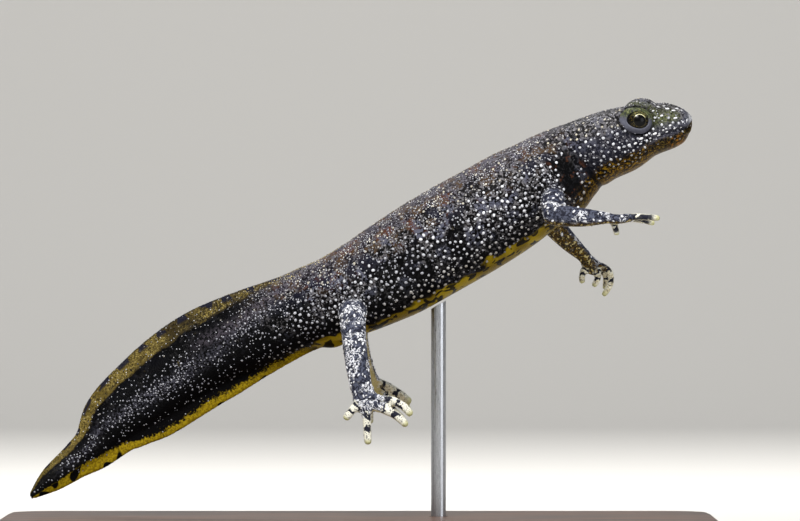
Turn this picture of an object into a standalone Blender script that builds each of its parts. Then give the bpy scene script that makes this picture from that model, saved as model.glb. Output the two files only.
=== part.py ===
# A life-size museum model of a young great crested newt, swimming, on a plain stand.
# The newt faces +X, its left side is +Y, and the underside of the stand is at z = 0.
# Every size below is in millimetres; MM turns it into metres as a mesh is made.

import math

import bmesh
import bpy
import numpy as np
from mathutils import Matrix, Vector

MM = 0.001
GAP = 0.3  # clearance that neighbouring pieces keep
LEFT, RIGHT = 1, -1

# Body stations from the snout to the tail tip: the centre of the body (x, y, z), the height
# above and below it, half the width, and the height of the flesh above and below the centre.
# The flesh ends where the tail fins begin; ahead of the tail it is the whole height.
BODY_STATIONS = {
    "snout tip": (39.92, -0.87, 52.58, 0.35, 0.35, 0.55, 0.35, 0.35),
    "snout curve": (39.48, -0.85, 52.54, 1.02, 1.52, 1.45, 1.02, 1.52),
    "nostrils": (38.90, -0.82, 52.45, 1.58, 2.28, 2.12, 1.58, 2.28),
    "muzzle": (37.68, -0.76, 52.18, 2.45, 2.86, 2.85, 2.45, 2.86),
    "cheek front": (36.12, -0.66, 51.76, 2.85, 3.08, 3.40, 2.85, 3.08),
    "eyes": (34.50, -0.50, 51.40, 3.20, 3.40, 3.85, 3.20, 3.40),
    "cheeks": (31.68, -0.25, 50.32, 3.80, 4.08, 4.65, 3.80, 4.08),
    "jaw corner": (28.68, -0.08, 49.18, 4.15, 4.30, 4.75, 4.15, 4.30),
    "throat fold": (26.28, 0.00, 47.86, 4.64, 4.72, 4.25, 4.64, 4.72),
    "chest": (23.88, 0.00, 46.48, 5.10, 5.70, 4.70, 5.10, 5.70),
    "shoulders": (21.48, 0.00, 44.98, 5.42, 5.72, 5.15, 5.42, 5.72),
    "ribs": (18.34, 0.00, 43.12, 5.82, 6.18, 5.45, 5.82, 6.18),
    "belly": (10.40, 0.00, 38.78, 5.78, 6.68, 5.70, 5.78, 6.68),
    "loins": (4.68, 0.00, 35.50, 5.50, 6.62, 5.30, 5.50, 6.62),
    "hips": (-0.26, 0.05, 32.57, 5.12, 5.78, 4.70, 5.12, 5.78),
    "vent": (-3.72, 0.15, 31.06, 4.76, 5.36, 4.10, 4.76, 5.30),
    "tail root": (-7.02, 0.35, 29.68, 4.76, 5.15, 3.50, 4.42, 4.70),
    "tail": (-12.36, 0.80, 27.28, 5.28, 5.55, 2.95, 4.00, 4.35),
    "high tail": (-18.04, 1.30, 24.58, 5.58, 6.20, 2.40, 3.55, 4.00),
    "long tail": (-24.48, 1.65, 20.50, 5.02, 6.08, 1.80, 2.95, 3.75),
    "tail bend": (-27.72, 1.60, 18.34, 4.25, 5.65, 1.55, 2.50, 3.45),
    "narrow tail": (-29.80, 1.45, 16.38, 3.75, 4.78, 1.35, 2.10, 2.95),
    "fin step": (-32.24, 1.15, 13.30, 2.38, 3.22, 1.00, 1.35, 1.90),
    "tail blade": (-34.14, 0.80, 11.69, 1.98, 2.42, 0.85, 1.10, 1.45),
    "tail end": (-37.27, 0.00, 9.17, 1.35, 1.58, 0.62, 0.80, 0.95),
    "tail tip": (-39.24, -0.60, 7.38, 0.40, 0.42, 0.32, 0.32, 0.34),
}

# Where the body is parted, as a distance behind the snout tip.
HEAD_END = 14.3
NECK_END = 17.4
TORSO_END = 48.9
UPPER_FIN_START = 50.0
LOWER_FIN_START = 52.5
FIN_END = 90.2
FIN_ROOT_HALF = 0.55  # half the thickness of a fin where it leaves the flesh
FIN_EDGE_HALF = 0.26

BODY_SIDES = 28
HEAD_SIDES = 32

# Head
EYE_RADIUS = 1.55
EYE_BACK = 6.08  # distance of the eyes behind the snout tip
EYE_OUT = 3.05
EYE_UP = 1.27
EYE_TURN_FORWARD = math.radians(15)
EYE_TURN_UP = math.radians(-2.6)
BROW_RADII = (2.4, 2.2, 2.6)
BROW_IN = 0.7  # the swelling round the eye is centred this far inside it
BROW_AHEAD = 0.55  # and this far in front
BROW_UP = -0.03
LID_RING = 1.72
LID_THICK = 0.44
LID_OUT = 0.90
MOUTH_GROOVE = 0.24
MOUTH_FRONT = (0.27, -0.95)  # distance behind the snout tip, height from the centre
# The line of the mouth: distance behind the snout tip, then the share of the lower height.
MOUTH_LINE = (
    (0.6, -0.59),
    (1.1, -0.44),
    (2.1, -0.36),
    (3.7, -0.385),
    (4.7, -0.44),
    (5.7, -0.475),
    (6.9, -0.465),
    (8.9, -0.30),
)
LIP_RADIUS = 0.42
LIP_IN = 0.12  # how far inside the surface the roll of the lip is centred
LIP_RISE = 0.48  # how far above the line of the mouth it lies
NOSTRIL_RADIUS = 0.27
NOSTRIL_AT = (0.72, 0.46)  # distance behind the snout tip, share of the upper height

# Each limb: where its root sits on the body, then its joints as offsets from that root,
# and half the width and half the thickness of the limb at the root and at each joint.
# The first letter of a size is the joint that it belongs to.
LIMBS = {
    "arm_right": {
        "side": RIGHT,
        "at": 19.5,
        "drop": -1.9,
        "inset": 1.6,
        "joints": ((0.20, -3.2, -1.3), (0.22, -4.9, -2.6), (3.4, -5.75, -2.9), (6.95, -6.1, -3.0)),
        "across": ((1.0, 0.0, 0.0), (0.0, 1.0, 0.15)),
        "sizes": ((1.50, 1.50), (1.42, 1.38), (1.36, 1.34), (1.20, 1.16), (0.84, 0.62)),
    },
    "arm_left": {
        "side": LEFT,
        "at": 19.5,
        "drop": -1.9,
        "inset": 1.6,
        "joints": ((0.20, 2.3, -1.9), (0.35, 3.6, -3.7), (2.35, 4.4, -5.75), (4.5, 5.0, -7.75)),
        "across": ((1.0, 0.0, 0.0), (1.0, 0.5, 0.35)),
        "sizes": ((1.50, 1.50), (1.42, 1.38), (1.38, 1.34), (1.18, 1.12), (0.80, 0.70)),
    },
    "leg_right": {
        "side": RIGHT,
        "at": 46.4,
        "drop": -1.9,
        "inset": 1.6,
        "joints": ((0.0, -3.1, -1.4), (0.2, -4.7, -4.4), (0.6, -5.2, -7.4), (1.2, -5.45, -10.4)),
        "across": ((1.0, 0.0, 0.0), (1.0, 0.0, 0.0)),
        "sizes": ((1.78, 1.70), (1.60, 1.54), (1.44, 1.36), (1.42, 1.24), (1.30, 1.00)),
    },
    "leg_left": {
        "side": LEFT,
        "at": 46.4,
        "drop": -1.9,
        "inset": 1.6,
        "joints": ((-0.2, 3.1, -1.4), (0.25, 4.7, -4.3), (0.75, 5.2, -6.9), (1.7, 5.5, -9.3)),
        "across": ((1.0, 0.0, 0.0), (1.0, 0.0, 0.0)),
        "sizes": ((1.78, 1.70), (1.60, 1.52), (1.44, 1.36), (1.40, 1.22), (1.24, 0.96)),
    },
}

# Each hand or foot: the direction across the palm, the palm's centre line as offsets from
# the wrist with half its width and half its thickness, and the digits. A digit is a run of
# points as offsets from the wrist, and starts well inside the palm.
HANDS = {
    "hand_right": {
        "limb": "arm_right",
        "across": (0.0, 1.0, 0.15),
        "palm": (
            (0.75, -0.1, -0.12, 1.02, 0.56),
            (1.5, -0.15, -0.1, 1.22, 0.52),
            (2.2, -0.2, 0.0, 1.00, 0.44),
        ),
        "digits": (
            ((0.25, 0.35, -0.1), (0.52, 0.55, -1.0), (0.8, 0.6, -2.05)),
            ((1.5, -0.7, 0.05), (3.5, -1.45, 0.15), (5.85, -1.75, -0.05)),
            ((1.7, -0.1, 0.0), (3.5, -0.25, -0.1), (5.25, -0.35, -0.68)),
            ((1.5, 0.5, -0.05), (2.9, 1.3, -0.1), (4.15, 1.9, -0.34)),
        ),
        "digit_radius": 0.38,
    },
    "hand_left": {
        "limb": "arm_left",
        "across": (1.0, 0.5, 0.35),
        "palm": (
            (0.35, 0.05, -0.55, 0.98, 0.66),
            (0.8, 0.1, -1.05, 1.12, 0.58),
            (1.2, 0.15, -1.5, 0.90, 0.48),
        ),
        "digits": (
            ((0.1, -0.1, -0.8), (-0.45, -0.35, -1.8), (-0.55, -0.5, -3.1)),
            ((0.9, 0.0, -1.1), (1.45, -0.15, -2.05), (0.85, -0.4, -3.5)),
            ((1.3, 0.2, -0.8), (2.75, 0.4, -1.5), (3.05, 0.35, -2.5), (2.05, 0.15, -4.65)),
            ((1.1, 0.55, -1.0), (2.4, 1.35, -2.1), (2.3, 1.6, -3.85)),
        ),
        "digit_radius": 0.38,
    },
    "foot_right": {
        "limb": "leg_right",
        "across": (1.0, 0.1, 0.15),
        "palm": (
            (0.3, -0.05, -0.6, 1.50, 0.88),
            (0.6, -0.1, -1.25, 1.72, 0.74),
            (0.85, -0.1, -1.8, 1.40, 0.52),
        ),
        "digits": (
            ((-0.15, -0.1, -0.9), (-1.1, -0.2, -1.85), (-2.15, -0.25, -3.15)),
            ((0.5, -0.15, -1.5), (0.5, -0.3, -3.6), (0.65, -0.45, -6.15)),
            ((1.3, -0.1, -1.5), (3.4, -0.3, -2.3), (4.55, -0.4, -3.1), (5.3, -0.45, -3.95)),
            ((1.4, 0.05, -0.75), (3.85, 0.1, -1.0), (5.0, 0.12, -1.7), (5.85, 0.15, -2.7)),
            ((1.3, 0.35, -0.8), (2.65, 1.3, -1.0), (3.85, 1.85, -1.3)),
        ),
        "digit_radius": 0.48,
    },
    "foot_left": {
        "limb": "leg_left",
        "across": (0.9, 0.15, 0.45),
        "palm": (
            (0.3, 0.05, -0.6, 1.28, 0.82),
            (0.5, 0.1, -1.25, 1.32, 0.70),
            (0.75, 0.1, -1.8, 1.10, 0.52),
        ),
        "digits": (
            ((-0.1, 0.0, -1.0), (-0.9, 0.15, -2.1), (-1.7, 0.2, -3.1)),
            ((0.3, 0.1, -1.5), (0.1, 0.25, -3.4), (0.2, 0.3, -5.2)),
            ((0.8, 0.1, -1.7), (3.1, 0.25, -3.65), (4.25, 0.3, -4.7)),
            ((0.9, 0.05, -1.4), (3.2, 0.1, -2.2), (4.3, 0.13, -2.85), (4.95, 0.15, -3.6)),
            ((0.55, -0.05, 0.1), (2.1, -0.12, -0.5), (3.65, -0.2, -1.4), (5.2, -0.25, -2.6)),
        ),
        "digit_radius": 0.48,
    },
}
BEND = 2  # the joint that is the elbow or the knee
LIMB_SIDES = 14
DIGIT_SIDES = 8
DIGIT_ROOT, DIGIT_END = 1.12, 0.87  # share of the digit's radius where it starts and ends
# How full a digit is along its length: even, then round at the tip.
DIGIT_MARKS = ((0, 1), (0.18, 1), (0.36, 1), (0.54, 1), (0.72, 1), (0.9, 0.93), (0.97, 0.68), (1.0, 0.3))

# Stand
BASE_LENGTH = 86.0
BASE_WIDTH = 40.0
BASE_HEIGHT = 5.0
BASE_CORNER = 6.0
BASE_CHAMFER = 0.8
ROD_RADIUS = 0.9
ROD_X = 9.6
SOCKET_DEPTH = 3.0

# Colours of the pieces
COLOURS = {
    "skin": ((0.030, 0.032, 0.040), 0.42, 0.0),
    "skin_limb": ((0.085, 0.092, 0.110), 0.45, 0.0),
    "fin": ((0.115, 0.085, 0.025), 0.40, 0.0),
    "eye": ((0.012, 0.012, 0.010), 0.08, 0.0),
    "wood": ((0.115, 0.060, 0.032), 0.45, 0.0),
    "steel": ((0.560, 0.565, 0.575), 0.30, 1.0),
}


class Line:
    """A smooth line through stations (x, y, z, sizes...), read by the distance along it."""

    def __init__(self, stations):
        self.table = np.array(stations, float)
        steps = np.linalg.norm(np.diff(self.table[:, :3], axis=0), axis=1)
        self.knots = np.concatenate(([0.0], np.cumsum(steps)))
        self.length = self.knots[-1]
        rise = np.diff(self.table, axis=0) / steps[:, None]
        share = (steps[:-1] / (steps[:-1] + steps[1:]))[:, None]
        inner = rise[:-1] * (1 - share) + rise[1:] * share
        # The sizes turn without overshoot, so that a limb never swells between its joints.
        limit = 2.5 * np.minimum(abs(rise[:-1]), abs(rise[1:]))
        held = np.where(rise[:-1] * rise[1:] > 0, np.clip(inner, -limit, limit), 0.0)
        inner[:, 3:] = held[:, 3:]
        self.slopes = np.vstack((rise[:1], inner, rise[-1:]))

    def _spot(self, distance):
        i = int(np.clip(np.searchsorted(self.knots, distance) - 1, 0, len(self.knots) - 2))
        span = self.knots[i + 1] - self.knots[i]
        return i, span, (distance - self.knots[i]) / span

    def read(self, distance):
        """The position and the sizes at a distance."""
        i, span, t = self._spot(distance)
        a, b = self.table[i], self.table[i + 1]
        return (
            a * (2 * t**3 - 3 * t**2 + 1)
            + self.slopes[i] * span * (t**3 - 2 * t**2 + t)
            + b * (3 * t**2 - 2 * t**3)
            + self.slopes[i + 1] * span * (t**3 - t**2)
        )

    def along(self, distance):
        """The direction in which the distance grows."""
        i, span, t = self._spot(distance)
        slope = (
            (self.table[i + 1] - self.table[i]) * (6 * t - 6 * t**2) / span
            + self.slopes[i] * (3 * t**2 - 4 * t + 1)
            + self.slopes[i + 1] * (3 * t**2 - 2 * t)
        )
        return Vector(slope[:3]).normalized()


BODY = Line(list(BODY_STATIONS.values()))


def body_frame(distance):
    """The centre of the body, its left and its up, at a distance behind the snout tip."""
    values = BODY.read(distance)
    forward = -BODY.along(distance)
    left = (Vector((0, 1, 0)) - forward * forward.y).normalized()
    return Vector(values[:3]), left, forward.cross(left), values[3:]


def spread(start, end, count, crowd=1.0):
    """Distances from start to end, crowded towards start where crowd is over 1."""
    return [start + (end - start) * (k / count) ** crowd for k in range(count + 1)]


def power(value, exponent):
    return math.copysign(abs(value) ** exponent, value)


def round_ring(distance, sides, square=0.92, grow=0.0):
    """The body's outline at a distance, up its left side and down its right."""
    centre, left, up, sizes = body_frame(distance)
    above, below, half = sizes[0] + grow, sizes[1] + grow, sizes[2] + grow
    ring = []
    for k in range(sides):
        angle = -math.pi / 2 + math.tau * (k + 0.5) / sides
        across = half * power(math.cos(angle), square)
        height = power(math.sin(angle), square) * (above if angle > 0 and angle < math.pi else below)
        ring.append(centre + left * across + up * height)
    return ring


def half_thickness(height, sizes):
    """Half the thickness of the tail at a height from its centre: a rounded core, then a fin."""
    above, below, half, flesh_above, flesh_below = sizes
    full, flesh = (above, flesh_above) if height > 0 else (below, flesh_below)
    share = min(1.0, abs(height) / (flesh * 1.04))
    core = half * (1 - share**2.2) ** 0.62
    out = min(1.0, max(0.0, (abs(height) - flesh * 0.7) / max(full - flesh * 0.7, 0.01)))
    root = min(FIN_ROOT_HALF, half * 0.8)
    edge = min(FIN_EDGE_HALF, root)
    fin = root + (edge - root) * out
    return math.hypot(core, fin)


def slice_ring(distance, low, high, levels):
    """The tail's outline between two heights, up its left side and down its right."""
    centre, left, up, sizes = body_frame(distance)
    heights = [low + (high - low) * (1 - math.cos(math.pi * k / (levels - 1))) / 2 for k in range(levels)]
    halves = [half_thickness(h, sizes) for h in heights]
    rising = [centre + up * h + left * t for h, t in zip(heights, halves)]
    falling = [centre + up * h - left * t for h, t in zip(heights, halves)]
    return rising + falling[::-1]


def material(name):
    colour, roughness, metallic = COLOURS[name]
    made = bpy.data.materials.get(name)
    if made is None:
        made = bpy.data.materials.new(name)
        made.use_nodes = True
        shader = made.node_tree.nodes["Principled BSDF"]
        shader.inputs["Base Color"].default_value = (*colour, 1)
        shader.inputs["Roughness"].default_value = roughness
        shader.inputs["Metallic"].default_value = metallic
        made.diffuse_color = (*colour, 1)
    return made


def add_object(name, mesh, finish):
    mesh.materials.clear()
    mesh.materials.append(material(finish))
    made = bpy.data.objects.new(name, mesh)
    bpy.context.scene.collection.objects.link(made)
    return made


def finish_mesh(bm, name):
    """Closes a bmesh off as a mesh, with its faces outwards."""
    bmesh.ops.recalc_face_normals(bm, faces=bm.faces)
    mesh = bpy.data.meshes.new(name)
    bm.to_mesh(mesh)
    bm.free()
    mesh.shade_smooth()
    mesh.set_sharp_from_angle(angle=math.radians(50))
    return mesh


def loft(name, rings, finish):
    """One closed body through rings of points in millimetres, with both ends capped.

    The left half and the right half are split into triangles as mirror images.
    """
    bm = bmesh.new()
    loops = [[bm.verts.new(Vector(p) * MM) for p in ring] for ring in rings]
    sides = len(loops[0])
    for a, b in zip(loops, loops[1:]):
        for k in range(sides):
            n = (k + 1) % sides
            if k < sides // 2:
                bm.faces.new((a[k], a[n], b[n]))
                bm.faces.new((a[k], b[n], b[k]))
            else:
                bm.faces.new((a[k], a[n], b[k]))
                bm.faces.new((a[n], b[n], b[k]))
    for end in (loops[0], loops[-1]):
        for k in range(sides // 2 - 1):
            bm.faces.new((end[k], end[k + 1], end[sides - 1 - k]))
            bm.faces.new((end[k + 1], end[sides - 2 - k], end[sides - 1 - k]))
    return add_object(name, finish_mesh(bm, name), finish)


def tube(name, line, marks, sides, across, finish, grow=0.0):
    """A closed tube along a Line, whose sizes are half its width and half its thickness.

    Each mark is a distance along the line and how full the tube is there.
    """
    rings = []
    for distance, fullness in marks:
        held = min(max(distance, 0.0), line.length)
        values = line.read(held)
        along = line.along(held)
        centre = Vector(values[:3]) + along * (distance - held)
        wide = (Vector(across) - along * Vector(across).dot(along)).normalized()
        thick = along.cross(wide)
        ring = []
        for k in range(sides):
            angle = -math.pi / 2 + math.tau * (k + 0.5) / sides
            half_wide = (values[3] + grow) * fullness * math.cos(angle)
            half_thick = (values[4] + grow) * fullness * math.sin(angle)
            ring.append(centre + wide * half_wide + thick * half_thick)
        rings.append(ring)
    return loft(name, rings, finish)


def even(line, count, start=0.0):
    """Marks at even distances along a line, each full."""
    return [(distance, 1.0) for distance in spread(start, line.length, count)]


def ball(name, centre, radii, finish, turn=None, across=18, down=11):
    bm = bmesh.new()
    placed = Matrix.Translation(Vector(centre) * MM) @ (turn.to_4x4() if turn else Matrix())
    bmesh.ops.create_uvsphere(bm, u_segments=across, v_segments=down, radius=MM)
    bmesh.ops.transform(bm, matrix=placed @ Matrix.Diagonal((*radii, 1)), verts=bm.verts)
    return add_object(name, finish_mesh(bm, name), finish)


def ring_body(name, centre, turn, radius, thickness, finish, around=22, section=8):
    """A closed ring whose axis is the turned +X axis."""
    bm = bmesh.new()
    circles = []
    for k in range(around):
        angle = math.tau * k / around
        out = Vector((0, math.cos(angle), math.sin(angle)))
        circle = []
        for j in range(section):
            lean = math.tau * j / section
            local = out * (radius + thickness * math.cos(lean)) + Vector((thickness * math.sin(lean), 0, 0))
            circle.append(bm.verts.new((Vector(centre) + turn @ local) * MM))
        circles.append(circle)
    for a, b in zip(circles, circles[1:] + circles[:1]):
        for j in range(section):
            n = (j + 1) % section
            bm.faces.new((a[j], a[n], b[n], b[j]))
    return add_object(name, finish_mesh(bm, name), finish)


def keep_largest(bm):
    """Leaves the largest closed surface, and drops scraps and sealed hollows."""
    left_over = set(bm.verts)
    groups = []
    while left_over:
        group, edge = set(), [next(iter(left_over))]
        while edge:
            vert = edge.pop()
            if vert in group:
                continue
            group.add(vert)
            edge.extend(e.other_vert(vert) for e in vert.link_edges)
        left_over -= group
        groups.append(group)

    def extent(group):
        points = np.array([v.co for v in group])
        return float(np.prod(np.ptp(points, axis=0)))

    largest = max(groups, key=extent)
    bmesh.ops.delete(bm, geom=[v for v in bm.verts if v not in largest], context="VERTS")


def combine(target, others, operation):
    """Applies one Boolean between an object and a collection of others, which are then removed."""
    helpers = bpy.data.collections.new("helpers")
    bpy.context.scene.collection.children.link(helpers)
    for other in others:
        for owner in other.users_collection:
            owner.objects.unlink(other)
        helpers.objects.link(other)
    modifier = target.modifiers.new("combine", "BOOLEAN")
    modifier.operation = operation
    modifier.operand_type = "COLLECTION"
    modifier.collection = helpers
    modifier.solver = "EXACT"
    bpy.context.view_layer.update()
    graph = bpy.context.evaluated_depsgraph_get()
    mesh = bpy.data.meshes.new_from_object(target.evaluated_get(graph))
    target.modifiers.clear()
    finish = target.data.materials[0]
    for other in others:
        bpy.data.objects.remove(other)
    bpy.data.collections.remove(helpers)
    bm = bmesh.new()
    bm.from_mesh(mesh)
    bmesh.ops.remove_doubles(bm, verts=bm.verts, dist=0.004 * MM)
    bmesh.ops.dissolve_degenerate(bm, edges=bm.edges, dist=0.004 * MM)
    bmesh.ops.triangulate(bm, faces=bm.faces)
    keep_largest(bm)
    old = target.data
    target.data = finish_mesh(bm, target.name)
    target.data.materials.append(finish)
    bpy.data.meshes.remove(old)
    bpy.data.meshes.remove(mesh)
    return target


def grown_body(start, end):
    """The body between two distances, larger all round by the gap: what a limb root is cut by."""
    count = max(3, round((end - start) / 1.5))
    rings = [round_ring(d, BODY_SIDES, grow=GAP) for d in spread(start, end, count)]
    return loft("grown", rings, "skin")


def eye_place(side):
    """The centre of an eye, and a turn that carries +X to the way it looks."""
    centre, left, up, _ = body_frame(EYE_BACK)
    forward = left.cross(up)
    eye = centre + left * (side * EYE_OUT) + up * EYE_UP
    flat = math.cos(EYE_TURN_UP)
    look = (
        left * (side * flat * math.cos(EYE_TURN_FORWARD))
        + forward * (flat * math.sin(EYE_TURN_FORWARD))
        + up * math.sin(EYE_TURN_UP)
    )
    return eye, look, look.to_track_quat("X", "Z").to_matrix()


def brow_place(side):
    eye, look, _ = eye_place(side)
    _, left, up, _ = body_frame(EYE_BACK)
    return eye - look * BROW_IN + left.cross(up) * BROW_AHEAD + up * BROW_UP


def head_surface(distance, share, side):
    """A point on the head at a share of the height above or below its centre."""
    centre, left, up, sizes = body_frame(distance)
    height = share * (sizes[0] if share > 0 else sizes[1])
    return centre + left * (side * sizes[2] * math.sqrt(1 - share**2)) + up * height


def mouth_run(name, radius, inside=0.0, rise=0.0):
    """A tube along the mouth, from one corner round the snout to the other."""
    spots = []
    for side in (LEFT, RIGHT):
        for distance, share in MOUTH_LINE:
            centre, left, up, _ = body_frame(distance)
            surface = head_surface(distance, share, side)
            spots.append(surface - (surface - centre).normalized() * inside + up * rise)
    centre, left, up, _ = body_frame(MOUTH_FRONT[0])
    front = centre + up * (MOUTH_FRONT[1] + rise) - left.cross(up) * inside
    half = len(MOUTH_LINE)
    points = spots[:half][::-1] + [front] + spots[half:]
    line = Line([(*p, radius, radius) for p in points])
    return tube(name, line, even(line, 34), 6, (0, 0.15, 1), "skin")


def make_head():
    distances = spread(0.0, 2.6, 6, 1.25) + spread(2.6, HEAD_END, 14)[1:]
    head = loft("head", [round_ring(d, HEAD_SIDES) for d in distances], "skin")
    added = [mouth_run("lip", LIP_RADIUS, LIP_IN, LIP_RISE)]
    cut = [mouth_run("mouth", MOUTH_GROOVE)]
    for side in (LEFT, RIGHT):
        eye, look, turn = eye_place(side)
        added.append(ball("brow", brow_place(side), BROW_RADII, "skin"))
        added.append(ring_body("lids", eye + look * LID_OUT, turn, LID_RING, LID_THICK, "skin"))
        cut.append(ball("socket", eye, (EYE_RADIUS + GAP,) * 3, "skin", turn, 20, 12))
        nostril = head_surface(*NOSTRIL_AT, side)
        cut.append(ball("nostril", nostril, (NOSTRIL_RADIUS,) * 3, "skin", None, 8, 6))
    combine(head, added, "UNION")
    combine(head, cut, "DIFFERENCE")


def make_eyes():
    for side, name in ((LEFT, "eye_left"), (RIGHT, "eye_right")):
        eye, _, turn = eye_place(side)
        ball(name, eye, (EYE_RADIUS,) * 3, "eye", turn @ Matrix.Rotation(math.radians(90), 3, "Y"), 20, 12)


def make_neck_and_torso():
    loft("neck", [round_ring(d, BODY_SIDES) for d in spread(HEAD_END + GAP, NECK_END, 3)], "skin")
    torso = [round_ring(d, BODY_SIDES) for d in spread(NECK_END + GAP, TORSO_END, 20)]
    loft("torso", torso, "skin")


def make_tail():
    """The flesh of the tail between its two fins, and the fins that stand on it."""

    def flesh_ring(distance):
        _, _, _, sizes = body_frame(distance)
        return slice_ring(distance, -sizes[4], sizes[3], 8)

    loft("tail", [flesh_ring(d) for d in spread(TORSO_END + GAP, BODY.length, 28)], "skin")

    def fin_ring(distance, side):
        _, _, _, sizes = body_frame(distance)
        root = sizes[3 if side > 0 else 4] + GAP
        edge = max(sizes[0 if side > 0 else 1], root + 0.12)
        return slice_ring(distance, *sorted((side * root, side * edge)), 4)

    fins = (("tail_fin_upper", 1, UPPER_FIN_START), ("tail_fin_lower", -1, LOWER_FIN_START))
    for name, side, start in fins:
        loft(name, [fin_ring(d, side) for d in spread(start, FIN_END, 24)], "fin")


def limb_lines(limb):
    """The centre lines of a limb: from inside the body to the bend, and on to the wrist or ankle."""
    centre, left, up, sizes = body_frame(limb["at"])
    root = centre + left * (limb["side"] * (sizes[2] - limb["inset"])) + up * limb["drop"]
    points = [root] + [root + Vector(offset) for offset in limb["joints"]]
    stations = [(*p, *size) for p, size in zip(points, limb["sizes"])]
    return Line(stations[: BEND + 1]), Line(stations[BEND:])


def lower_limb(name, limb, grow=0.0):
    """The forearm or shin with its round elbow or knee, larger all round by grow."""
    line = limb_lines(limb)[1]
    reach = line.table[0, 4] + grow
    marks = [(-reach * math.cos(a), math.sin(a)) for a in np.radians((12, 32, 52, 72))]
    marks += even(line, 7)
    if grow:
        marks.append((line.length + grow, 1.0))
    return tube(name, line, marks, LIMB_SIDES, limb["across"][1], "skin_limb", grow)


def make_limbs():
    """Each limb as two lengths: the upper one is cut to the body and to the bend."""
    for name, limb in LIMBS.items():
        line = limb_lines(limb)[0]
        upper = tube(name + "_upper", line, even(line, 4), LIMB_SIDES, limb["across"][0], "skin_limb")
        lower_limb(name + "_lower", limb)
        near = grown_body(limb["at"] - 6, limb["at"] + 6)
        combine(upper, [near, lower_limb("grown", limb, GAP)], "DIFFERENCE")


def make_hands():
    """Each palm with its digits fused on, cut one gap clear of the wrist or ankle."""
    for name, hand in HANDS.items():
        limb = LIMBS[hand["limb"]]
        line = limb_lines(limb)[1]
        wrist = Vector(line.read(line.length)[:3])
        stations = [(*wrist, *line.table[-1, 3:])]
        stations += [(*(wrist + Vector(p[:3])), *p[3:]) for p in hand["palm"]]
        palm_line = Line(stations)
        palm = tube(name, palm_line, even(palm_line, 6), LIMB_SIDES, hand["across"], "skin_limb")
        digits = []
        for points in hand["digits"]:
            taper = np.linspace(DIGIT_ROOT, DIGIT_END, len(points)) * hand["digit_radius"]
            run = Line([(*(wrist + Vector(p)), r, r) for p, r in zip(points, taper)])
            marks = [(run.length * share, fullness) for share, fullness in DIGIT_MARKS]
            digits.append(tube("digit", run, marks, DIGIT_SIDES, hand["across"], "skin_limb"))
        combine(palm, digits, "UNION")
        combine(palm, [lower_limb("grown", limb, GAP)], "DIFFERENCE")


def rounded_plate(name, length, width, low, high, corner, chamfer, finish):
    bm = bmesh.new()
    bmesh.ops.create_cube(bm, size=1)
    size = Vector((length, width, high - low)) * MM
    bmesh.ops.scale(bm, vec=size, verts=bm.verts)
    bmesh.ops.translate(bm, vec=(0, 0, (low + high) / 2 * MM), verts=bm.verts)
    upright = [e for e in bm.edges if abs(e.verts[0].co.z - e.verts[1].co.z) > 0.5 * size.z]
    bmesh.ops.bevel(bm, geom=upright, offset=corner * MM, segments=6, profile=0.5, affect="EDGES")
    top = [e for e in bm.edges if all(v.co.z > (high - 0.01) * MM for v in e.verts)]
    bmesh.ops.bevel(bm, geom=top, offset=chamfer * MM, segments=2, profile=0.5, affect="EDGES")
    bmesh.ops.triangulate(bm, faces=bm.faces)
    return add_object(name, finish_mesh(bm, name), finish)


def upright_rod(name, x, y, low, high, radius, finish, sides=20):
    bm = bmesh.new()
    bmesh.ops.create_cone(
        bm, cap_ends=True, segments=sides, radius1=radius * MM, radius2=radius * MM, depth=(high - low) * MM
    )
    bmesh.ops.translate(bm, vec=(x * MM, y * MM, (low + high) / 2 * MM), verts=bm.verts)
    return add_object(name, finish_mesh(bm, name), finish)


def make_stand():
    """A flat base with a socket, and a rod from it up to the belly."""
    base = rounded_plate(
        "stand_base", BASE_LENGTH, BASE_WIDTH, 0, BASE_HEIGHT, BASE_CORNER, BASE_CHAMFER, "wood"
    )
    socket_floor = BASE_HEIGHT - SOCKET_DEPTH
    socket = upright_rod("socket", ROD_X, 0, socket_floor, BASE_HEIGHT + 2, ROD_RADIUS + GAP, "wood")
    combine(base, [socket], "DIFFERENCE")
    belly = BODY_STATIONS["belly"]
    rod = upright_rod("stand_rod", ROD_X, 0, socket_floor + GAP, belly[2], ROD_RADIUS, "steel")
    combine(rod, [grown_body(20, 45)], "DIFFERENCE")


def clear_scene():
    for obj in list(bpy.data.objects):
        bpy.data.objects.remove(obj)


clear_scene()
make_head()
make_eyes()
make_neck_and_torso()
make_tail()
make_limbs()
make_hands()
make_stand()
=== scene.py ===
import math

import bmesh
import bpy
import numpy as np
from mathutils import Matrix, Vector, kdtree, noise


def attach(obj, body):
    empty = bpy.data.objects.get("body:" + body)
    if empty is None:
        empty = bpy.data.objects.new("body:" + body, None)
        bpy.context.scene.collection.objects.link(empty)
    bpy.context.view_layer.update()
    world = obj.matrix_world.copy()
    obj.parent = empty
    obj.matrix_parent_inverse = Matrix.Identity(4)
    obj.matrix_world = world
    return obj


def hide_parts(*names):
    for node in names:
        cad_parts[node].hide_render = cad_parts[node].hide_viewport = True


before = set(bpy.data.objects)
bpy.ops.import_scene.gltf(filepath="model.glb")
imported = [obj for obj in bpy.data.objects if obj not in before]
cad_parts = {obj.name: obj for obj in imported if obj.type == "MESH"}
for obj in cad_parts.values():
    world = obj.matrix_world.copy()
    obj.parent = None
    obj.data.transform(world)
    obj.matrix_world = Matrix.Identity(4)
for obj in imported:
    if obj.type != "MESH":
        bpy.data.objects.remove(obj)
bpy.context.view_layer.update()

mm = 0.001
left, right = 1, -1
print("frame loaded:", len(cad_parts), "nodes")

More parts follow.
